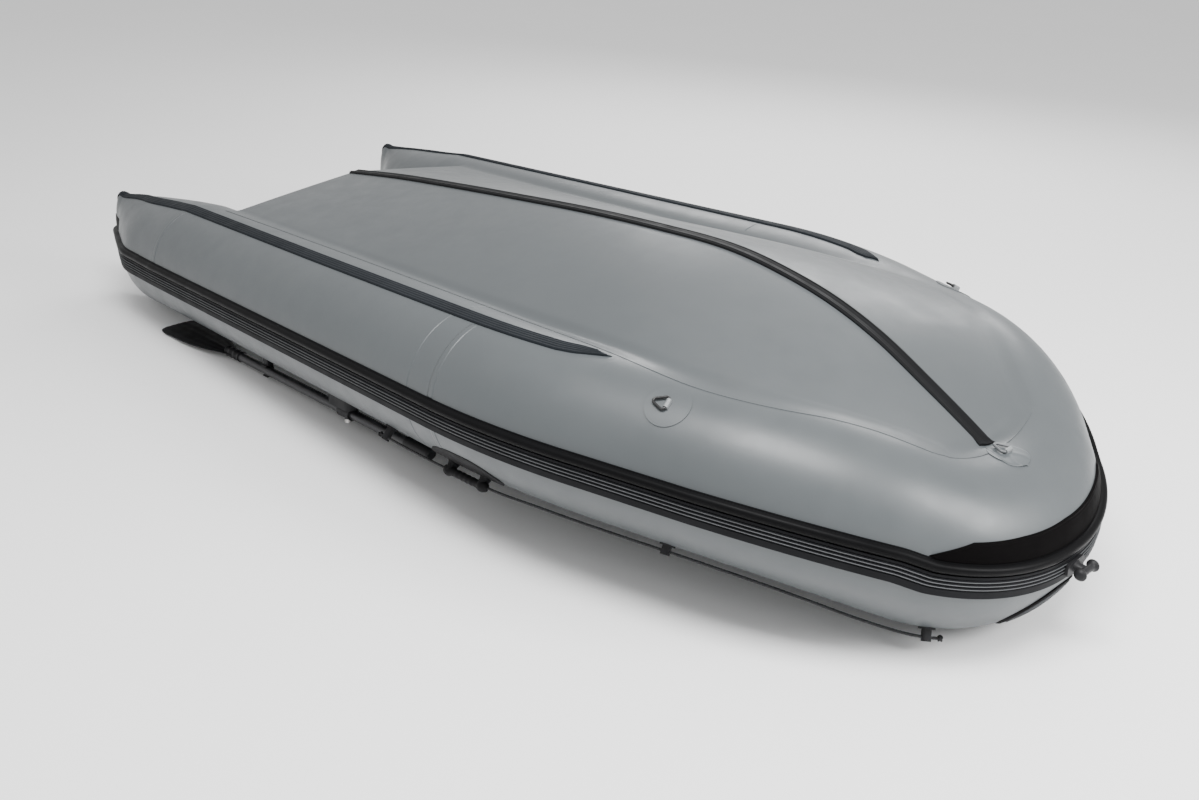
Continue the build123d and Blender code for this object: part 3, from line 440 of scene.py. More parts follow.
def coated_fabric(name, color, warm=1.0):
    """PVC-coated boat fabric: fine weave under the coating, soft creases, dusty patches."""
    n = Nodes(name)
    cloud = n.noise(1.7, 3.0)
    mottle = n.noise(38.0, 5.0)
    dust = n.spread(n.noise(7.0, 8.0, stretch=(1, 1, 2)), 0.0, 0.35, 0.5, 0.8)
    base = n.mix(n.spread(cloud, 0, 1), shade(color, 0.965), shade(color, 1.035))
    base = n.mix(n.spread(mottle, 0, 0.22), base, shade(color, 0.93))
    base = n.mix(dust, base, (color[0] * 1.1 * warm, color[1] * 1.09, color[2] * 1.05))
    weave = n.math("MULTIPLY", n.waves(420.0, "X", uv=False), n.waves(420.0, "Y", uv=False))
    normal = n.bump(weave, 0.00006, 0.35)
    normal = n.bump(n.noise(9.0, 2.0), 0.0012, 0.22, normal)
    normal = n.bump(n.noise(60.0, 3.0, stretch=(0.3, 1, 1)), 0.00025, 0.3, normal)
    rough = n.spread(n.noise(12.0, 5.0), 0.34, 0.46)
    return n.set(
        Base_Color=base, Roughness=rough, Normal=normal, Specular_IOR_Level=0.42,
        Coat_Weight=0.1, Coat_Roughness=0.25,
    )


def rubber(name, color, rough=(0.42, 0.58), grain=180.0, depth=0.00012, gloss=0.05):
    """Moulded or extruded rubber: fine grain, scuffs, and a worn tone on raised edges."""
    n = Nodes(name)
    scuff = n.spread(n.noise(24.0, 8.0, stretch=(0.15, 1, 1)), 0.0, 0.4, 0.55, 0.75)
    edges = n.spread(n.add("ShaderNodeNewGeometry").outputs["Pointiness"], 0.0, 0.5, 0.52, 0.6)
    base = n.mix(n.spread(n.noise(5.0, 4.0), 0, 1), shade(color, 0.88), shade(color, 1.12))
    base = n.mix(scuff, base, shade(color, 1.35))
    base = n.mix(edges, base, shade(color, 1.6))
    normal = n.bump(n.noise(grain, 3.0), depth, 0.6)
    finish = n.spread(n.noise(15.0, 5.0), *rough)
    return n.set(Base_Color=base, Roughness=finish, Normal=normal, Specular_IOR_Level=gloss)


def plastic(name, color):
    """Moulded plastic with a fine spark-eroded grain and faint handling marks."""
    n = Nodes(name)
    base = n.mix(n.spread(n.noise(14.0, 5.0), 0, 1), shade(color, 0.92), shade(color, 1.1))
    base = n.mix(n.spread(n.noise(90.0, 6.0), 0.0, 0.25, 0.6, 0.8), base, shade(color, 1.5))
    sparks = n.add("ShaderNodeTexVoronoi", {"Vector": n.where(), "Scale": 900.0}).outputs[0]
    normal = n.bump(sparks, 0.00005, 0.5)
    finish = n.spread(n.noise(30.0, 4.0), 0.38, 0.5)
    return n.set(Base_Color=base, Roughness=finish, Normal=normal, Specular_IOR_Level=0.15)


def metal(name, color, rough=(0.25, 0.38), brushed=(1, 60, 60), metallic=1.0):
    """Metal with a drawn or brushed grain and slight stains."""
    n = Nodes(name)
    grain = n.noise(40.0, 6.0, stretch=brushed)
    base = n.mix(n.spread(n.noise(20.0, 5.0), 0, 1), shade(color, 0.9), shade(color, 1.05))
    base = n.mix(n.spread(grain, 0.0, 0.3), base, shade(color, 0.8))
    finish = n.spread(grain, *rough)
    return n.set(Base_Color=base, Metallic=metallic, Roughness=finish, Normal=n.bump(grain, 0.00003, 0.4))


def painted_board(name, color):
    """Marine plywood under black paint: long grain that telegraphs through, pale scuffs."""
    n = Nodes(name)
    grain = n.noise(9.0, 8.0, stretch=(1, 0.08, 1), rough=0.65)
    scuffs = n.spread(n.noise(16.0, 9.0, stretch=(1, 0.3, 1)), 0.0, 0.5, 0.62, 0.72)
    base = n.mix(n.spread(grain, 0, 1), shade(color, 0.85), shade(color, 1.15))
    base = n.mix(scuffs, base, shade(color, 2.2))
    normal = n.bump(grain, 0.0003, 0.5)
    return n.set(Base_Color=base, Roughness=n.spread(grain, 0.4, 0.55), Normal=normal)


def foam_mat(name, color):
    """Non-slip deck foam with diamond tread."""
    n = Nodes(name)
    values = {"Vector": n.where((1, 1, 0.01)), "Scale": 110.0}
    tread = n.add("ShaderNodeTexVoronoi", values, distance="CHEBYCHEV")
    base = n.mix(n.spread(n.noise(6.0, 6.0), 0, 1), shade(color, 0.85), shade(color, 1.2))
    base = n.mix(n.spread(tread.outputs[0], 0.4, 0.0, 0.2, 0.6), base, shade(color, 0.6))
    normal = n.bump(tread.outputs[0], 0.0012, 0.8)
    return n.set(Base_Color=base, Roughness=0.85, Normal=n.bump(n.noise(400.0, 2.0), 0.0001, 0.6, normal))


def braid(name, color):
    """Polyester braid: a herringbone of yarns along the rope."""
    n = Nodes(name)
    one = n.waves(150.0, "DIAGONAL")
    two = n.noise(700.0, 3.0, stretch=(1, 4, 1), uv=True)
    base = n.mix(n.spread(one, 0, 1), shade(color, 0.6), shade(color, 1.6))
    normal = n.bump(one, 0.0006, 0.8)
    return n.set(Base_Color=base, Roughness=0.75, Normal=n.bump(two, 0.0002, 0.6, normal))


GREY = (0.066, 0.0735, 0.0775)
MATERIALS = {
    "tube_fabric": coated_fabric("tube_fabric", GREY),
    "bottom_fabric": coated_fabric("bottom_fabric", shade(GREY, 0.97), 1.02),
    "inner_fabric": coated_fabric("inner_fabric", shade(GREY, 0.7)),
    "deck_foam": foam_mat("deck_foam", (0.05, 0.053, 0.056)),
    "transom_board": painted_board("transom_board", (0.03, 0.031, 0.033)),
    "holder_rubber": rubber("holder_rubber", (0.022, 0.022, 0.023)),
    "motor_plate": plastic("motor_plate", (0.018, 0.018, 0.018)),
    "steel": metal("steel", (0.6, 0.59, 0.57)),
    "fitting_plastic": plastic("fitting_plastic", (0.014, 0.014, 0.015)),
    "keel_rubber": rubber("keel_rubber", (0.0068, 0.007, 0.0075), rough=(0.4, 0.55)),
    "strake_rubber": rubber("strake_rubber", (0.0125, 0.0145, 0.017), rough=(0.45, 0.6)),
    "bead_rubber": rubber("bead_rubber", (0.0035, 0.0035, 0.0038), rough=(0.34, 0.46)),
    "band_rubber": rubber("band_rubber", (0.0085, 0.0088, 0.0098), rough=(0.45, 0.6)),
    "guard_rubber": rubber("guard_rubber", (0.0024, 0.0021, 0.0022), rough=(0.48, 0.6), gloss=0.015),
    "pad_rubber": rubber("pad_rubber", (0.05, 0.052, 0.055), grain=320.0, depth=0.0012, rough=(0.6, 0.8)),
    "ring_patch": coated_fabric("ring_patch", shade(GREY, 1.04)),
    "ring_steel": metal("ring_steel", (0.007, 0.007, 0.0075), rough=(0.3, 0.42), metallic=0.0),
    "handle_rubber": rubber("handle_rubber", (0.011, 0.011, 0.0115), rough=(0.4, 0.55)),
    "lifeline_cord": braid("lifeline_cord", (0.012, 0.012, 0.013)),
    "oar_shaft": metal("oar_shaft", (0.03, 0.03, 0.032), brushed=(60, 1, 1), metallic=0.6),
    "oar_plastic": plastic("oar_plastic", (0.012, 0.012, 0.013)),
    "seat_board": painted_board("seat_board", (0.035, 0.036, 0.038)),
    "slider_metal": metal("slider_metal", (0.62, 0.62, 0.63)),
    "valve_plastic": plastic("valve_plastic", (0.04, 0.041, 0.043)),
    "valve_pin": plastic("valve_pin", (0.45, 0.45, 0.46)),
}
# painted highlight: light grey for thin strips on the rub band's ridge crests, standing in for the light
# that the crests catch
RIDGE_HIGHLIGHT_GREY = rubber("band_ridge_painted_highlight", (0.075, 0.078, 0.081), rough=(0.4, 0.5))
RING_GREY = metal("ring_grey", (0.11, 0.115, 0.12), rough=(0.34, 0.46), metallic=0.0)
LOOP_GREY = coated_fabric("loop_webbing", (0.17, 0.178, 0.182))

for part in frame["record"]["subparts"]:
    node = frame["nodes"][part["node"]]
    node.data.materials.clear()
    own = {"bow_tow_ring": RING_GREY, "tow_ring_loops": LOOP_GREY}.get(part["node"])
    node.data.materials.append(own or MATERIALS[part["material_slot"]])


# ---- camera, light and floor ------------------------------------------------------------
EYE = (5.2054, -2.7324, 1.4098)
YAW, TILT, ROLL = 2.395, -0.4025, -0.0172
SENSOR = 36.0
LENS = SENSOR * 1243.08 / 1199.0


def camera():
    """The camera that was fitted to the photograph, in the hull frame."""
    flat = math.cos(TILT)
    forward = Vector((math.cos(YAW) * flat, math.sin(YAW) * flat, math.sin(TILT)))
    level = Vector((math.sin(YAW), -math.cos(YAW), 0))
    up = level.cross(forward)
    right = level * math.cos(ROLL) + up * math.sin(ROLL)
    over = up * math.cos(ROLL) - level * math.sin(ROLL)
    axes = Matrix((right, over, -forward)).transposed().to_4x4()
    data = bpy.data.cameras.new("camera")
    data.sensor_width = SENSOR
    data.lens = LENS
    data.clip_start = 0.05
    data.clip_end = 100.0
    eye = bpy.data.objects.new("camera", data)
    bpy.context.scene.collection.objects.link(eye)
    eye.matrix_world = REST @ Matrix.Translation(EYE) @ axes
    bpy.context.scene.camera = eye


def softbox(name, at, aim, size, power):
    """A rectangular light at one point that faces another."""
    data = bpy.data.lights.new(name, "AREA")
    data.shape = "RECTANGLE"
    data.size, data.size_y = size
    data.energy = power
    lamp = bpy.data.objects.new(name, data)
    bpy.context.scene.collection.objects.link(lamp)
    lamp.location = at
    lamp.rotation_mode = "QUATERNION"
    lamp.rotation_quaternion = (Vector(aim) - Vector(at)).to_track_quat("-Z", "Y")


FLOOR_SIZE = 60
WORLD_POWER = 0.88
LIGHTS = [
    ("key", (1.9, -1.4, 4.6), (1.2, 0.0, 0.4), (3.4, 1.6), 400),
    ("bow_light", (5.5, 1.5, 3.2), (1.6, 0, 0.4), (2.0, 2.5), 330),
    ("rim", (-2.0, 4.5, 3.0), (-0.5, 0.5, 0.4), (5.0, 1.0), 150),
]


def studio():
    """A pale floor under an even sky, and three soft lights."""
    bpy.ops.mesh.primitive_plane_add(size=FLOOR_SIZE)
    floor = bpy.context.object
    floor.name = "studio_floor"
    n = Nodes("studio_floor")
    tone = n.mix(n.noise(0.6, 3.0), (0.88, 0.88, 0.88), (0.92, 0.92, 0.92))
    floor.data.materials.append(n.set(Base_Color=tone, Roughness=0.7))
    world = bpy.data.worlds.new("studio")
    bpy.context.scene.world = world
    world.use_nodes = True
    world.node_tree.nodes["Background"].inputs[0].default_value = (1, 1, 1, 1)
    world.node_tree.nodes["Background"].inputs[1].default_value = WORLD_POWER
    for light in LIGHTS:
        softbox(*light)


camera()
studio()


# ---- air tubes ------------------------------------------------------------
RING = 96
TURN = np.linspace(-180, 180, RING, endpoint=False)


def tube_piece(name, first, last, node_names):
    s = TUBE["s"][(TUBE["s"] >= first) & (TUBE["s"] <= last)]
    s = np.unique(np.concatenate([[first], s, [last]]))
    grid_s, grid_a = np.meshgrid(s, TURN, indexing="ij")
    points = on_tube(grid_s, grid_a, 0.0)
    uvs = np.stack([grid_s.ravel(), np.radians(grid_a).ravel() * TUBE_R], axis=1)
    piece = hose(name, points, uvs)
    place(piece, "hull", "tube_fabric", MATERIALS["tube_fabric"], *node_names)


bow_s = s_at(BAFFLE_X)
tube_piece("bow_tube_skin", -bow_s, bow_s, ["bow_tube"])
tube_piece("starboard_tube_skin", bow_s, STERN_S, ["starboard_side_tube", "starboard_stern_cone"])
tube_piece("port_tube_skin", -STERN_S, -bow_s, ["port_side_tube", "port_stern_cone"])


TAPE_T = 0.0006
TAPE_LIFT = 0.0001
TAPE_W = 0.020
BAFFLE_TAPE_W = 0.022
BAFFLE_TAPE_S = s_at(2.51)
CONE_TAPE_S = s_at(0.66)
LOW_SEAM_ANGLE = -76
LOW_SEAM_RUN = (0.3, s_at(0.7))


def tape_grid():
    """Rows along the tape, columns across it, and its height with rounded edges."""
    t = np.linspace(0, 1, 120)[:, None]
    v = np.linspace(-0.5, 0.5, 5)[None, :]
    return t, v, TAPE_T * np.sqrt(np.clip(1 - (2 * v) ** 4, 0, 1)) + TAPE_LIFT


def round_tape(name, centre_s, width, first, last):
    """A glued tape round the tube, between two angles."""
    t, v, height = tape_grid()
    piece = strip(name, centre_s + v * width, first + (last - first) * t, height)
    place(piece, "hull", "tube_fabric", MATERIALS["tube_fabric"])


def long_tape(name, centre_angle, width, first, last):
    """A glued tape along the tube, between two distances from the bow."""
    t, v, height = tape_grid()
    angle = centre_angle + np.degrees(v * width / TUBE_R)
    piece = strip(name, first + (last - first) * t, angle, height)
    place(piece, "hull", "tube_fabric", MATERIALS["tube_fabric"])


for side, sign in SIDES:
    round_tape(side + "_baffle_tape", sign * BAFFLE_TAPE_S, BAFFLE_TAPE_W, 12.5, 76)
    round_tape(side + "_lower_baffle_tape", sign * BAFFLE_TAPE_S, BAFFLE_TAPE_W, -180, -12)
    round_tape(side + "_cone_tape", sign * CONE_TAPE_S, TAPE_W, 12.5, 72)
    long_tape(side + "_low_seam", LOW_SEAM_ANGLE, TAPE_W, *(sign * s for s in LOW_SEAM_RUN))


# ---- V bottom ------------------------------------------------------------
LAP = 0.030
FADE = 0.075
HALF_COLUMNS = 56
SKIN_T = 0.0016
BOARD_T = 0.027
# half width of the bottom where it meets the tubes, by x
VALLEY = [
    (0.78, 0.560), (1.12, 0.556), (1.80, 0.551), (2.40, 0.553), (2.90, 0.557), (3.10, 0.553),
    (3.20, 0.543), (3.30, 0.520), (3.38, 0.490), (3.46, 0.441), (3.54, 0.368), (3.62, 0.295),
    (3.70, 0.229), (3.73, 0.198), (3.745, 0.170),
]


def bottom_skin():
    """The V bottom, lapped on to the tubes, with a rounded tip. Its columns are closest at the edges."""
    x_rows = np.concatenate([np.arange(0.791, 3.1, 0.02), np.arange(3.1, 3.744, 0.008)])
    halves = smooth_interp(x_rows, *zip(*VALLEY)) + LAP
    tip = x_rows[-1]
    past_tip = np.array([0.35, 0.6, 0.8, 0.93, 0.995])
    x_rows = np.concatenate([x_rows, tip + LAP * past_tip])
    halves = np.concatenate([halves, halves[-1] * np.sqrt(1 - past_tip**2)])
    crowding = 0.92 * math.pi
    t = np.sin(np.linspace(-0.5, 0.5, 2 * HALF_COLUMNS + 1) * crowding) / math.sin(crowding / 2)
    x = np.repeat(x_rows[:, None], len(t), axis=1)
    y = halves[:, None] * t[None, :]
    on_tubes = tube_top(x, y) + SHEET_T
    edge = np.clip(np.minimum(halves[:, None] - np.abs(y), (tip + LAP - x) * 1.2) / FADE, 0, 1)
    z = on_tubes + (hull_top(x, y) - on_tubes) * np.where(on_tubes > 0, edge**2 * (3 - 2 * edge), 1)
    upper = np.stack([x, y, z], axis=-1)
    xs = [row[0] for row in BOTTOM]
    deck = np.interp(x, xs, [row[5] for row in BOTTOM])
    lapped = z - SKIN_T
    over_tube = tube_top(x, y) > bottom_only(x, y)
    low = np.where(over_tube, lapped, np.minimum(deck, lapped))
    low = np.where(x < TRANSOM_X + BOARD_T, lapped, low)
    lower = np.stack([x, y, low], axis=-1)
    uvs = np.stack([x.ravel(), y.ravel()], axis=1)
    piece = slab("bottom_skin", upper, lower, uvs)
    sharpen(piece, 55)
    place(piece, "hull", "bottom_fabric", MATERIALS["bottom_fabric"], "hull_bottom")


bottom_skin()


# ---- strakes on the bottom ------------------------------------------------------------
def ribbed(v, ribs, base, relief):
    """Section of a ribbed strake: v from -1 to 1 across it."""
    edge = np.clip((1 - np.abs(v)) / 0.14, 0, 1) ** 0.6
    return edge * (base + relief * np.cos(v * math.pi * ribs))


KEEL_HALF = 0.0275
KEEL_T = 0.0058
KEEL_SKEW = 0.010
KEEL_SINK = 0.004


def keel():
    """Keel strake with a rib near each edge and a shallow groove, cut askew at its bow end."""
    rows = np.arange(0.789, 3.742, 0.012)
    v = np.linspace(-1, 1, 29)
    t = (rows - rows[0]) / (rows[-1] - rows[0])
    x = rows[:, None] + (t**30)[:, None] * KEEL_SKEW * v[None, :]
    y = np.broadcast_to(KEEL_HALF * v[None, :], x.shape)
    skin = hull_top(x, y * 0.2)
    lift = KEEL_T * np.clip((1 - np.abs(v)) / 0.10, 0, 1) ** 0.5
    ribs = 0.0022 * (np.exp(-((np.abs(v) - 0.62) / 0.10) ** 2))
    groove = 0.0012 * np.exp(-((v / 0.22) ** 2))
    bend = 0.0012 * v**2
    upper = np.stack([x, y, skin + (lift + ribs - groove)[None, :] - bend[None, :]], axis=-1)
    lower = np.stack([x, y, skin - KEEL_SINK], axis=-1)
    uvs = np.stack([x.ravel(), y.ravel()], axis=1)
    piece = slab("keel_strake_rubber", upper, lower, uvs)
    sharpen(piece, 35)
    place(piece, "hull", "keel_rubber", MATERIALS["keel_rubber"], "keel_strake")


keel()


STRAKE_X = (-0.012, 2.945)
STRAKE_T, STRAKE_RIBS, STRAKE_RELIEF = 0.0052, 5, 0.0008
# x and width, x and the angle of the centre line, x and the radius of the tube's section
STRAKE_WIDTH = (
    [-0.01, 0.1, 0.3, 0.6, 2.85, 2.93, 2.945], [0.018, 0.030, 0.042, 0.052, 0.052, 0.020, 0.004]
)
STRAKE_CENTRE = ([-0.02, 0.05, 0.3, 0.6, 1.6, 2.4, 2.8, 2.94], [90, 89, 81, 79, 80.5, 83, 85, 86])
STRAKE_RADIUS = ([-0.01, 0.1, 0.3, 0.65], [0.02, 0.06, 0.16, TUBE_R])


def side_strake(side, sign):
    """Ribbed strip on the crown of the tube, pointed at both ends."""
    stern, tip = (s_at(x) for x in STRAKE_X)
    t = np.linspace(0, 1, 260)[:, None]
    v = np.linspace(-1, 1, 33)[None, :]
    s = stern + (tip - stern) * t + (0.055 * (1 + v) / 2) * np.clip((t - 0.93) / 0.07, 0, 1)
    x = np.interp(s, TUBE["s"], TUBE["o"][:, 0])
    width = np.interp(x, *STRAKE_WIDTH)
    slide = np.interp(x, [2.80, STRAKE_X[1]], [0.0, -0.020])
    turn = (v * width / 2 - slide) / np.interp(x, *STRAKE_RADIUS)
    angle = np.interp(x, *STRAKE_CENTRE) + np.degrees(turn)
    height = ribbed(v, STRAKE_RIBS, STRAKE_T, STRAKE_RELIEF) * np.clip(width / 0.02, 0.5, 1)
    piece = strip(side + "_strake_rubber", sign * s, angle, height)
    sharpen(piece, 35)
    place(piece, "hull", "strake_rubber", MATERIALS["strake_rubber"], side + "_strake")


for side, sign in SIDES:
    side_strake(side, sign)


# ---- rub band round the boat ------------------------------------------------------------
BAND_LOW, BAND_MID, BAND_HIGH = -11.2, 4.2, 12.4
BAND_T = 0.012
BEAD_T = 0.020
LIP_T = 0.0035
BAND_END = s_at(-0.016)
BAND_FADE = 0.03


def round_the_boat(name, low, high, profile, columns, slot, *nodes, material=None):
    """A strip from stern to stern with a profile across it: v from 0, low, to 1, high."""
    s = TUBE["s"][np.abs(TUBE["s"]) < BAND_END]
    s = np.concatenate([[-BAND_END], s, [BAND_END]])[:, None]
    v = np.linspace(0, 1, columns)[None, :]
    fade = np.clip((BAND_END - np.abs(s)) / BAND_FADE, 0, 1) ** 0.5
    angle = level_angle(s, low) * (1 - v) + level_angle(s, high) * v
    height = profile(v) * (0.25 + 0.75 * fade)
    piece = strip(name, s, angle, height)
    sharpen(piece, 40)
    place(piece, "hull", slot, material or MATERIALS[slot], *nodes)


def bead_profile(v):
    """A smooth half-round bead between two thin lips."""
    lip = LIP_T * np.clip(np.minimum(v, 1 - v) / 0.02, 0, 1) ** 0.5
    crown = np.clip(1 - ((v - 0.48) / 0.42) ** 2, 0, 1) ** 0.5
    return lip + (BEAD_T - LIP_T) * crown


GROOVES = (0.40, 0.56, 0.72, 0.88)
GROOVE_DEPTH, GROOVE_HALF = 0.0030, 0.018
# the ridge crests between the grooves, which get thin strips that carry a painted highlight
HIGHLIGHT_CRESTS = (0.47, 0.63, 0.79)
HIGHLIGHT_HALF = math.degrees(0.0011 / TUBE_R)


def band_profile(v):
    """Flat band with rounded lower edge and four narrow grooves."""
    body = (BAND_T - 0.001) * np.clip(v / 0.07, 0, 1) ** 0.5
    for g in GROOVES:
        body = body - GROOVE_DEPTH * np.exp(-(((v - g) / GROOVE_HALF) ** 2))
    return body


def highlight_profile(v):
    """A thin strip that stands just proud of the band on a ridge crest; its light grey is a painted
    highlight.
    """
    return BAND_T - 0.0004 + 0.0009 * np.sin(np.pi * v)


round_the_boat("rub_bead_rubber", BAND_MID, BAND_HIGH, bead_profile, 25, "bead_rubber", "rub_bead")
round_the_boat("rub_band_rubber", BAND_LOW, BAND_MID, band_profile, 75, "band_rubber", "rub_band")
# painted highlight: a thin light grey strip along each ridge crest of the band
for number, middle in enumerate(HIGHLIGHT_CRESTS, 1):
    angle = BAND_LOW + (BAND_MID - BAND_LOW) * middle
    ends = (angle - HIGHLIGHT_HALF, angle + HIGHLIGHT_HALF)
    round_the_boat(f"rub_band_ridge_highlight_{number}", *ends, highlight_profile, 5, "band_rubber", material=RIDGE_HIGHLIGHT_GREY)


GUARD_S = s_at(3.662)
GUARD_T = 0.0048
GUARD_LOW = BAND_HIGH + 0.1
# distance from the guard's end, and the angle of its upper edge there
GUARD_TOP = ([0, 0.075, 0.18, 0.4, GUARD_S], [13.0, 25.0, 27.0, 28.5, 33.0])


def guard():
    """Wide bow guard above the bead, with slanted ends and two raised lips."""
    s = (np.linspace(-1, 1, 241) * GUARD_S)[:, None]
    v = np.linspace(0, 1, 27)[None, :]
    top = np.interp(GUARD_S - np.abs(s), *GUARD_TOP)
    angle = GUARD_LOW + (top - GUARD_LOW) * v
    flat = GUARD_T * np.clip(np.minimum(v + 0.06, 1 - v) / 0.05, 0, 1) ** 0.5
    upper_lip = 0.0012 * np.exp(-(((v - 0.93) / 0.025) ** 2))
    lower_lip = 0.0007 * np.exp(-(((v - 0.80) / 0.02) ** 2))
    height = (flat + upper_lip + lower_lip) * np.clip((GUARD_S - np.abs(s)) / 0.012, 0.1, 1)
    piece = strip("bow_guard_rubber", s, angle, height)
    sharpen(piece, 40)
    place(piece, "hull", "guard_rubber", MATERIALS["guard_rubber"], "bow_guard")


guard()


# ---- lifelines ------------------------------------------------------------
ROPE_R = 0.004
ROPE_LAY = 0.034
ROPE_STEP = 0.0025
ROPE_SIDES = 18
SPLINE_STEPS = 24
HANDLE_X, HANDLE_ANGLE, HANDLE_Y, HANDLE_HEIGHT = 2.570, math.radians(-50), 0.662, 0.030
handle_out = unit(np.array([0.0155, math.cos(HANDLE_ANGLE), math.sin(HANDLE_ANGLE)]))
handle_run = unit(np.array([1, -0.0247, 0]))
handle_run = unit(handle_run - handle_out * (handle_run @ handle_out))
handle_up = np.array([HANDLE_X, HANDLE_Y, 0]) + handle_out * (TUBE_R + HANDLE_HEIGHT)
LIFELINE = [
    (2.150, 0.836, -0.196), (2.260, 0.8375, -0.198), (2.360, 0.8365, -0.199),
    tuple(handle_up - 0.12 * handle_run), tuple(handle_up + 0.12 * handle_run),
    (2.810, 0.797, -0.207), (2.945, 0.760, -0.218), (3.095, 0.714, -0.230), (3.239, 0.668, -0.241),
    (3.345, 0.630, -0.253), (3.450, 0.582, -0.272), (3.550, 0.520, -0.303), (3.650, 0.445, -0.346),
    (3.735, 0.368, -0.386), (3.789, 0.317, -0.405), (3.822, 0.280, -0.411),
]


def spline_points(points):
    """Points read from the smooth NURBS line that has the route as its control points."""
    data = bpy.data.curves.new("route", "CURVE")
    data.dimensions = "3D"
    line = data.splines.new("NURBS")
    line.points.add(len(points) - 1)
    for target, p in zip(line.points, points):
        target.co = (*p, 1)
    line.order_u = 3
    line.use_endpoint_u = True
    line.resolution_u = SPLINE_STEPS
    holder = bpy.data.objects.new("route", data)
    bpy.context.scene.collection.objects.link(holder)
    bpy.context.view_layer.update()
    mesh = bpy.data.meshes.new_from_object(holder)
    found = [tuple(v.co) for v in mesh.vertices]
    bpy.data.objects.remove(holder)
    return found


def lifeline(side, sign):
    """Laid rope along the route, with a stop knot at each end."""
    route = [(x, sign * y, z) for x, y, z in LIFELINE]
    line = np.array(spline_points(route))
    length = np.concatenate([[0], np.cumsum(np.linalg.norm(np.diff(line, axis=0), axis=1))])
    steps = np.linspace(0, length[-1], int(length[-1] / ROPE_STEP))
    path = np.stack([np.interp(steps, length, line[:, k]) for k in range(3)], axis=1)
    heading = unit(np.gradient(path, axis=0))
    across = unit(np.cross(heading, (0, 0, 1)))
    other = np.cross(heading, across)
    turn = np.linspace(0, 2 * math.pi, ROPE_SIDES, endpoint=False)[None, :]
    twist = 2 * math.pi * steps[:, None] / ROPE_LAY
    radius = ROPE_R * (0.93 + 0.08 * np.abs(np.sin(1.5 * (turn - twist))))
    ring = np.cos(turn)[..., None] * across[:, None, :] + np.sin(turn)[..., None] * other[:, None, :]
    points = path[:, None, :] + radius[..., None] * ring
    girth = np.linspace(0, 0.025, ROPE_SIDES)
    uvs = np.stack([np.repeat(steps, ROPE_SIDES), np.tile(girth, len(steps))], axis=1)
    piece = hose(side + "_lifeline_rope", points, uvs)
    place(piece, "hull", "lifeline_cord", MATERIALS["lifeline_cord"], side + "_lifeline")
    for name, at, along in (("fore", path[-1], heading[-1]), ("aft", path[0], heading[0])):
        stop_knot(f"{side}_{name}_stop_knot", at, along)


KNOT_STEPS = 60
KNOT_R, KNOT_RISE, KNOT_ROPE_R = 0.0042, 0.0035, 0.0030


def stop_knot(name, at, along):
    """A half hitch: a short trefoil of the rope round itself."""
    side = unit(np.cross(along, (0, 0, 1)))
    other = np.cross(along, side)
    points = []
    for k in range(KNOT_STEPS):
        a = 2 * math.pi * k / KNOT_STEPS
        radial = KNOT_R * (1.15 + 0.45 * math.cos(3 * a))
        forward = KNOT_RISE * math.sin(3 * a)
        points.append(at + radial * (math.cos(2 * a) * side + math.sin(2 * a) * other) + forward * along)
    points.append(points[0])
    piece = bar(name, points, KNOT_ROPE_R, sides=10)
    return place(piece, "hull", "lifeline_cord", MATERIALS["lifeline_cord"])


for side, sign in SIDES:
    lifeline(side, sign)


# ---- carry handles ------------------------------------------------------------
HANDLE_PAD = (s_at(2.722), s_at(2.415))
GRIP_HALF = 0.097
GRIP_R, GRIP_LOBE, GRIP_FINGER = 0.0122, 0.0052, 0.0006
GRIP_END_R = 0.0066
FOOT_AT = (("aft", -0.072), ("fore", 0.072))


def handle_pad(side, sign):
    """Almond pad on the tube, with a groove inside its rim."""
    first, last = HANDLE_PAD
    t = np.linspace(0, 1, 61)[:, None]
    v = np.linspace(-1, 1, 21)[None, :]
    s = first + (last - first) * t
    lens = np.clip(1 - np.abs(2 * t - 1) ** 2.4, 0.0004, 1) ** 0.62
    angle = -45 + 17.5 * v * lens - 2.0 * (2 * t - 1)
    rim = np.clip((1 - np.abs(v)) / 0.12, 0, 1) ** 0.5 * np.clip(lens * 4, 0, 1)
    groove = 0.0009 * np.exp(-(((np.abs(v) - 0.80) / 0.05) ** 2)) * rim
    pad = strip(side + "_handle_pad", sign * s, angle, 0.0012 + 0.0030 * rim - groove)
    sharpen(pad, 40)
    place(pad, "hull", "handle_rubber", MATERIALS["handle_rubber"])


def grip_radius(t):
    """A lobe near each end, shallow finger waves in the middle, and rounded ends."""
    u = abs(2 * t - 1)
    lobe = math.exp(-(((u - 0.78) / 0.13) ** 2))
    finger = GRIP_FINGER * math.cos(2 * math.pi * 9 * t) * (u < 0.5)
    end = max(1 - max(u - 0.93, 0) / 0.07, 0.0) ** 0.5
    return max((GRIP_R + GRIP_LOBE * lobe + finger) * end, GRIP_END_R)


def carry_handle(side, sign):
    """The pad, a moulded grip and its two feet."""
    handle_pad(side, sign)
    flip = np.array([1.0, sign, 1.0])
    spine = [(handle_up + t * handle_run) * flip for t in np.linspace(-GRIP_HALF, GRIP_HALF, 61)]
    grip = bar(side + "_handle_grip", spine, grip_radius, sides=28)
    place(grip, "hull", "handle_rubber", MATERIALS["handle_rubber"], "carry_handles", "handle_pads")
    for name, at in FOOT_AT:
        top = handle_up + at * handle_run
        drop = handle_out * (HANDLE_HEIGHT + 0.003)
        foot = [(top - drop * k) * flip for k in np.linspace(0, 1, 12)]
        piece = bar(
            f"{side}_handle_{name}_foot", foot, lambda k: 0.0125 + 0.0065 * k**3, sides=24, squash=1.35
        )
        place(piece, "hull", "handle_rubber", MATERIALS["handle_rubber"])


for side, sign in SIDES:
    carry_handle(side, sign)


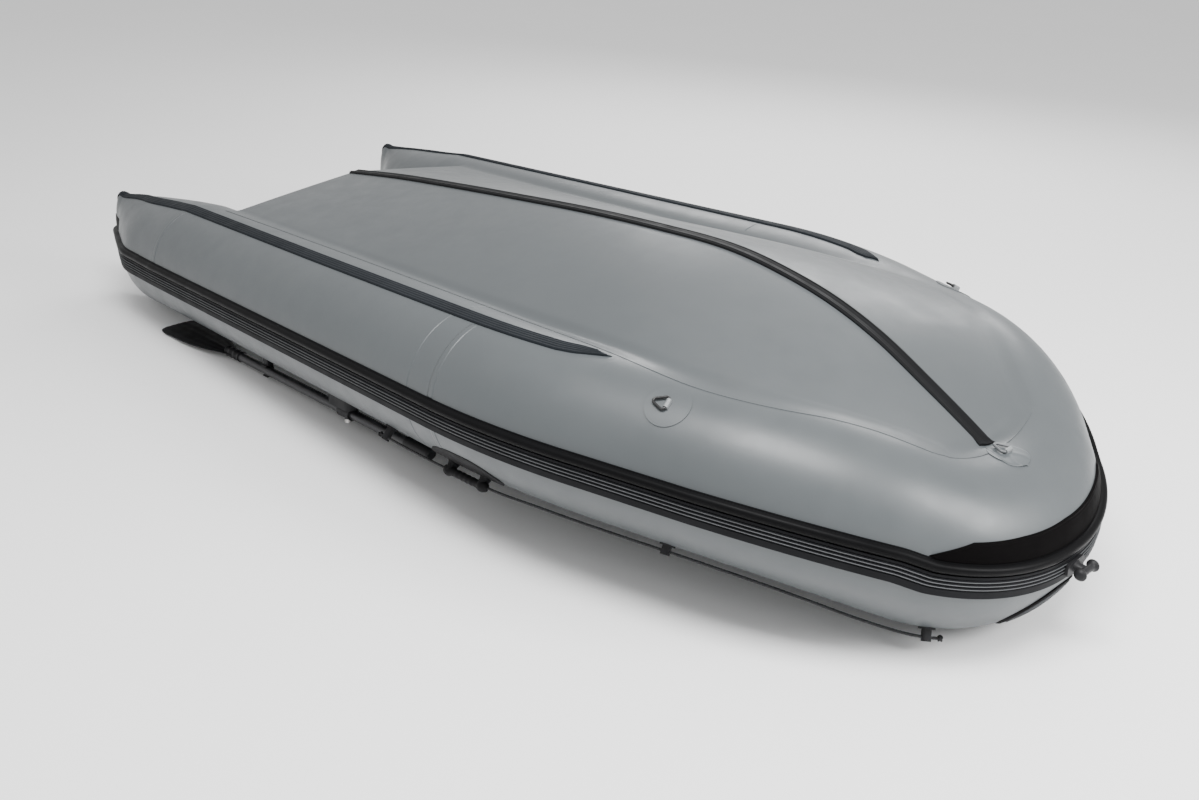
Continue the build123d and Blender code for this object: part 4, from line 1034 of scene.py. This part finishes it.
# ---- bow fittings ------------------------------------------------------------
STEP_ANGLE, STEP_SPREAD, STEP_HALF = -40.5, 21.0, 0.100
CLEAT_X, CLEAT_Z = 4.012, NOSE[2] - 0.012
HORN_OUT, HORN_HALF, HORN_R, HORN_KNOB = 0.036, 0.0445, 0.0102, 0.0072
RING_PATCH_ANGLE, RING_PATCH_SPREAD, RING_PATCH_HALF = 84.0, 15.5, 0.058


def rounded_edge(v, width):
    """1 inside, and falling to 0 at the edges where v is -1 or 1."""
    return np.clip((1 - np.abs(v)) / width, 0, 1) ** 0.5


def step_leaf(name, grow, rise, slot, *nodes):
    """One layer of the leaf-shaped step pad under the bow."""
    v = np.linspace(-1, 1, 45)[:, None]
    u = np.linspace(-1, 1, 25)[None, :]
    angle = STEP_ANGLE + STEP_SPREAD * grow * v
    half = STEP_HALF * grow * np.clip(1 - v**2, 0.0004, 1) ** 0.55 * (1 - 0.12 * v)
    edge = rounded_edge(u, 0.08) * rounded_edge(v, 0.05)
    piece = strip(name, half * u, angle, 0.0010 + rise * edge)
    sharpen(piece, 40)
    place(piece, "hull", slot, MATERIALS[slot], *nodes)


def horn_radius(t):
    """A slim middle, a knob near each end, and rounded ends."""
    u = abs(2 * t - 1)
    knob = HORN_KNOB * math.exp(-(((u - 0.74) / 0.17) ** 2))
    end = max(1 - (max(u - 0.9, 0) / 0.1) ** 2, 0.0) ** 0.5
    return max((HORN_R + knob) * (0.45 + 0.55 * end), 0.004)


def bow_cleat():
    """Mooring cleat: a flared stem and a bar with a mushroom horn at each end."""
    horns = [(CLEAT_X + HORN_OUT, y, CLEAT_Z) for y in np.linspace(-HORN_HALF, HORN_HALF, 49)]
    bar_piece = bar("bow_cleat_horns", horns, horn_radius, sides=28)
    stem = [(CLEAT_X + 0.004 + 0.030 * k, 0, CLEAT_Z) for k in np.linspace(0, 1, 16)]
    stem_piece = bar(
        "bow_cleat_stem", stem, lambda k: 0.0125 + 0.010 * (1 - k) ** 2.5, sides=28, squash=0.8
    )
    place(bar_piece, "hull", "fitting_plastic", MATERIALS["fitting_plastic"], "bow_cleat")
    place(stem_piece, "hull", "fitting_plastic", MATERIALS["fitting_plastic"])


def bow_ring_patch():
    """Raised heart-shaped patch that the bow ring's straps are welded to."""
    v = np.linspace(-1, 1, 41)[:, None]
    u = np.linspace(-1, 1, 31)[None, :]
    half = RING_PATCH_HALF * np.clip(1 - v**2, 0.0004, 1) ** 0.5 * (1.0 - 0.42 * v)
    notch = 1.6 * (1 - np.abs(u)) * np.minimum(v, 0)
    angle = RING_PATCH_ANGLE + RING_PATCH_SPREAD * v + notch
    edge = rounded_edge(u, 0.10) * rounded_edge(v, 0.07)
    strap = sum(np.exp(-(((u * 0.9 + way * v * 0.7) / 0.14) ** 2)) for way in (-1, 1))
    height = 0.0012 + 0.0020 * edge + 0.0012 * strap * edge
    piece = strip("bow_ring_welded_patch", half * u, angle, height)
    sharpen(piece, 45)
    place(piece, "hull", "ring_patch", MATERIALS["ring_patch"])


step_leaf("bow_step_rim", 1.0, 0.0030, "guard_rubber")
step_leaf("bow_step_tread", 0.86, 0.0046, "pad_rubber", "bow_step_pad")
bow_cleat()
bow_ring_patch()


# ---- oar blades ------------------------------------------------------------
OAR_Y, OAR_Z = 0.735, -0.262
SLEEVE_X = (0.958, 1.060)
SLEEVE_R, SLEEVE_WAVE = 0.0190, 0.0015
# x and half width of the blade
BLADE = [
    (0.530, 0.060), (0.536, 0.070), (0.560, 0.083), (0.660, 0.084), (0.760, 0.078), (0.860, 0.060),
    (0.930, 0.040), (0.990, 0.025), (1.030, 0.018),
]


def oar_blade(side, sign):
    """A blade that thins to its edges, with a spine that runs out of the shaft's sleeve."""
    x = np.linspace(BLADE[0][0], BLADE[-1][0], 101)[:, None]
    v = np.linspace(-1, 1, 41)[None, :]
    half = smooth_interp(x, *zip(*BLADE))
    y = OAR_Y + half * v
    spine = 0.0022 * np.exp(-((half * v / 0.014) ** 2)) * np.clip((x - 0.60) / 0.35, 0, 1)
    edge = rounded_edge(v, 0.06)
    thick = (0.0014 + 0.0018 * (1 - v**2)) * (0.5 + 0.5 * edge) + spine
    ribs = 0.0004 * np.cos(v * math.pi * 5) * edge
    x, y, thick = np.broadcast_arrays(x, y, thick + ribs)
    upper = np.stack([x, sign * y, OAR_Z + thick], axis=-1)
    lower = np.stack([x, sign * y, OAR_Z - thick], axis=-1)
    piece = slab(side + "_oar_blade_moulding", upper, lower)
    sharpen(piece, 40)
    body = side + "_oar"
    place(piece, body, "oar_plastic", MATERIALS["oar_plastic"], side + "_oar_blade")
    sleeve = [(a, sign * OAR_Y, OAR_Z) for a in np.linspace(*SLEEVE_X, 33)]
    collar = bar(
        side + "_oar_blade_sleeve", sleeve,
        lambda k: SLEEVE_R + SLEEVE_WAVE * math.cos(6 * math.pi * k), sides=28,
    )
    place(collar, body, "oar_plastic", MATERIALS["oar_plastic"])


for side, sign in SIDES:
    oar_blade(side, sign)
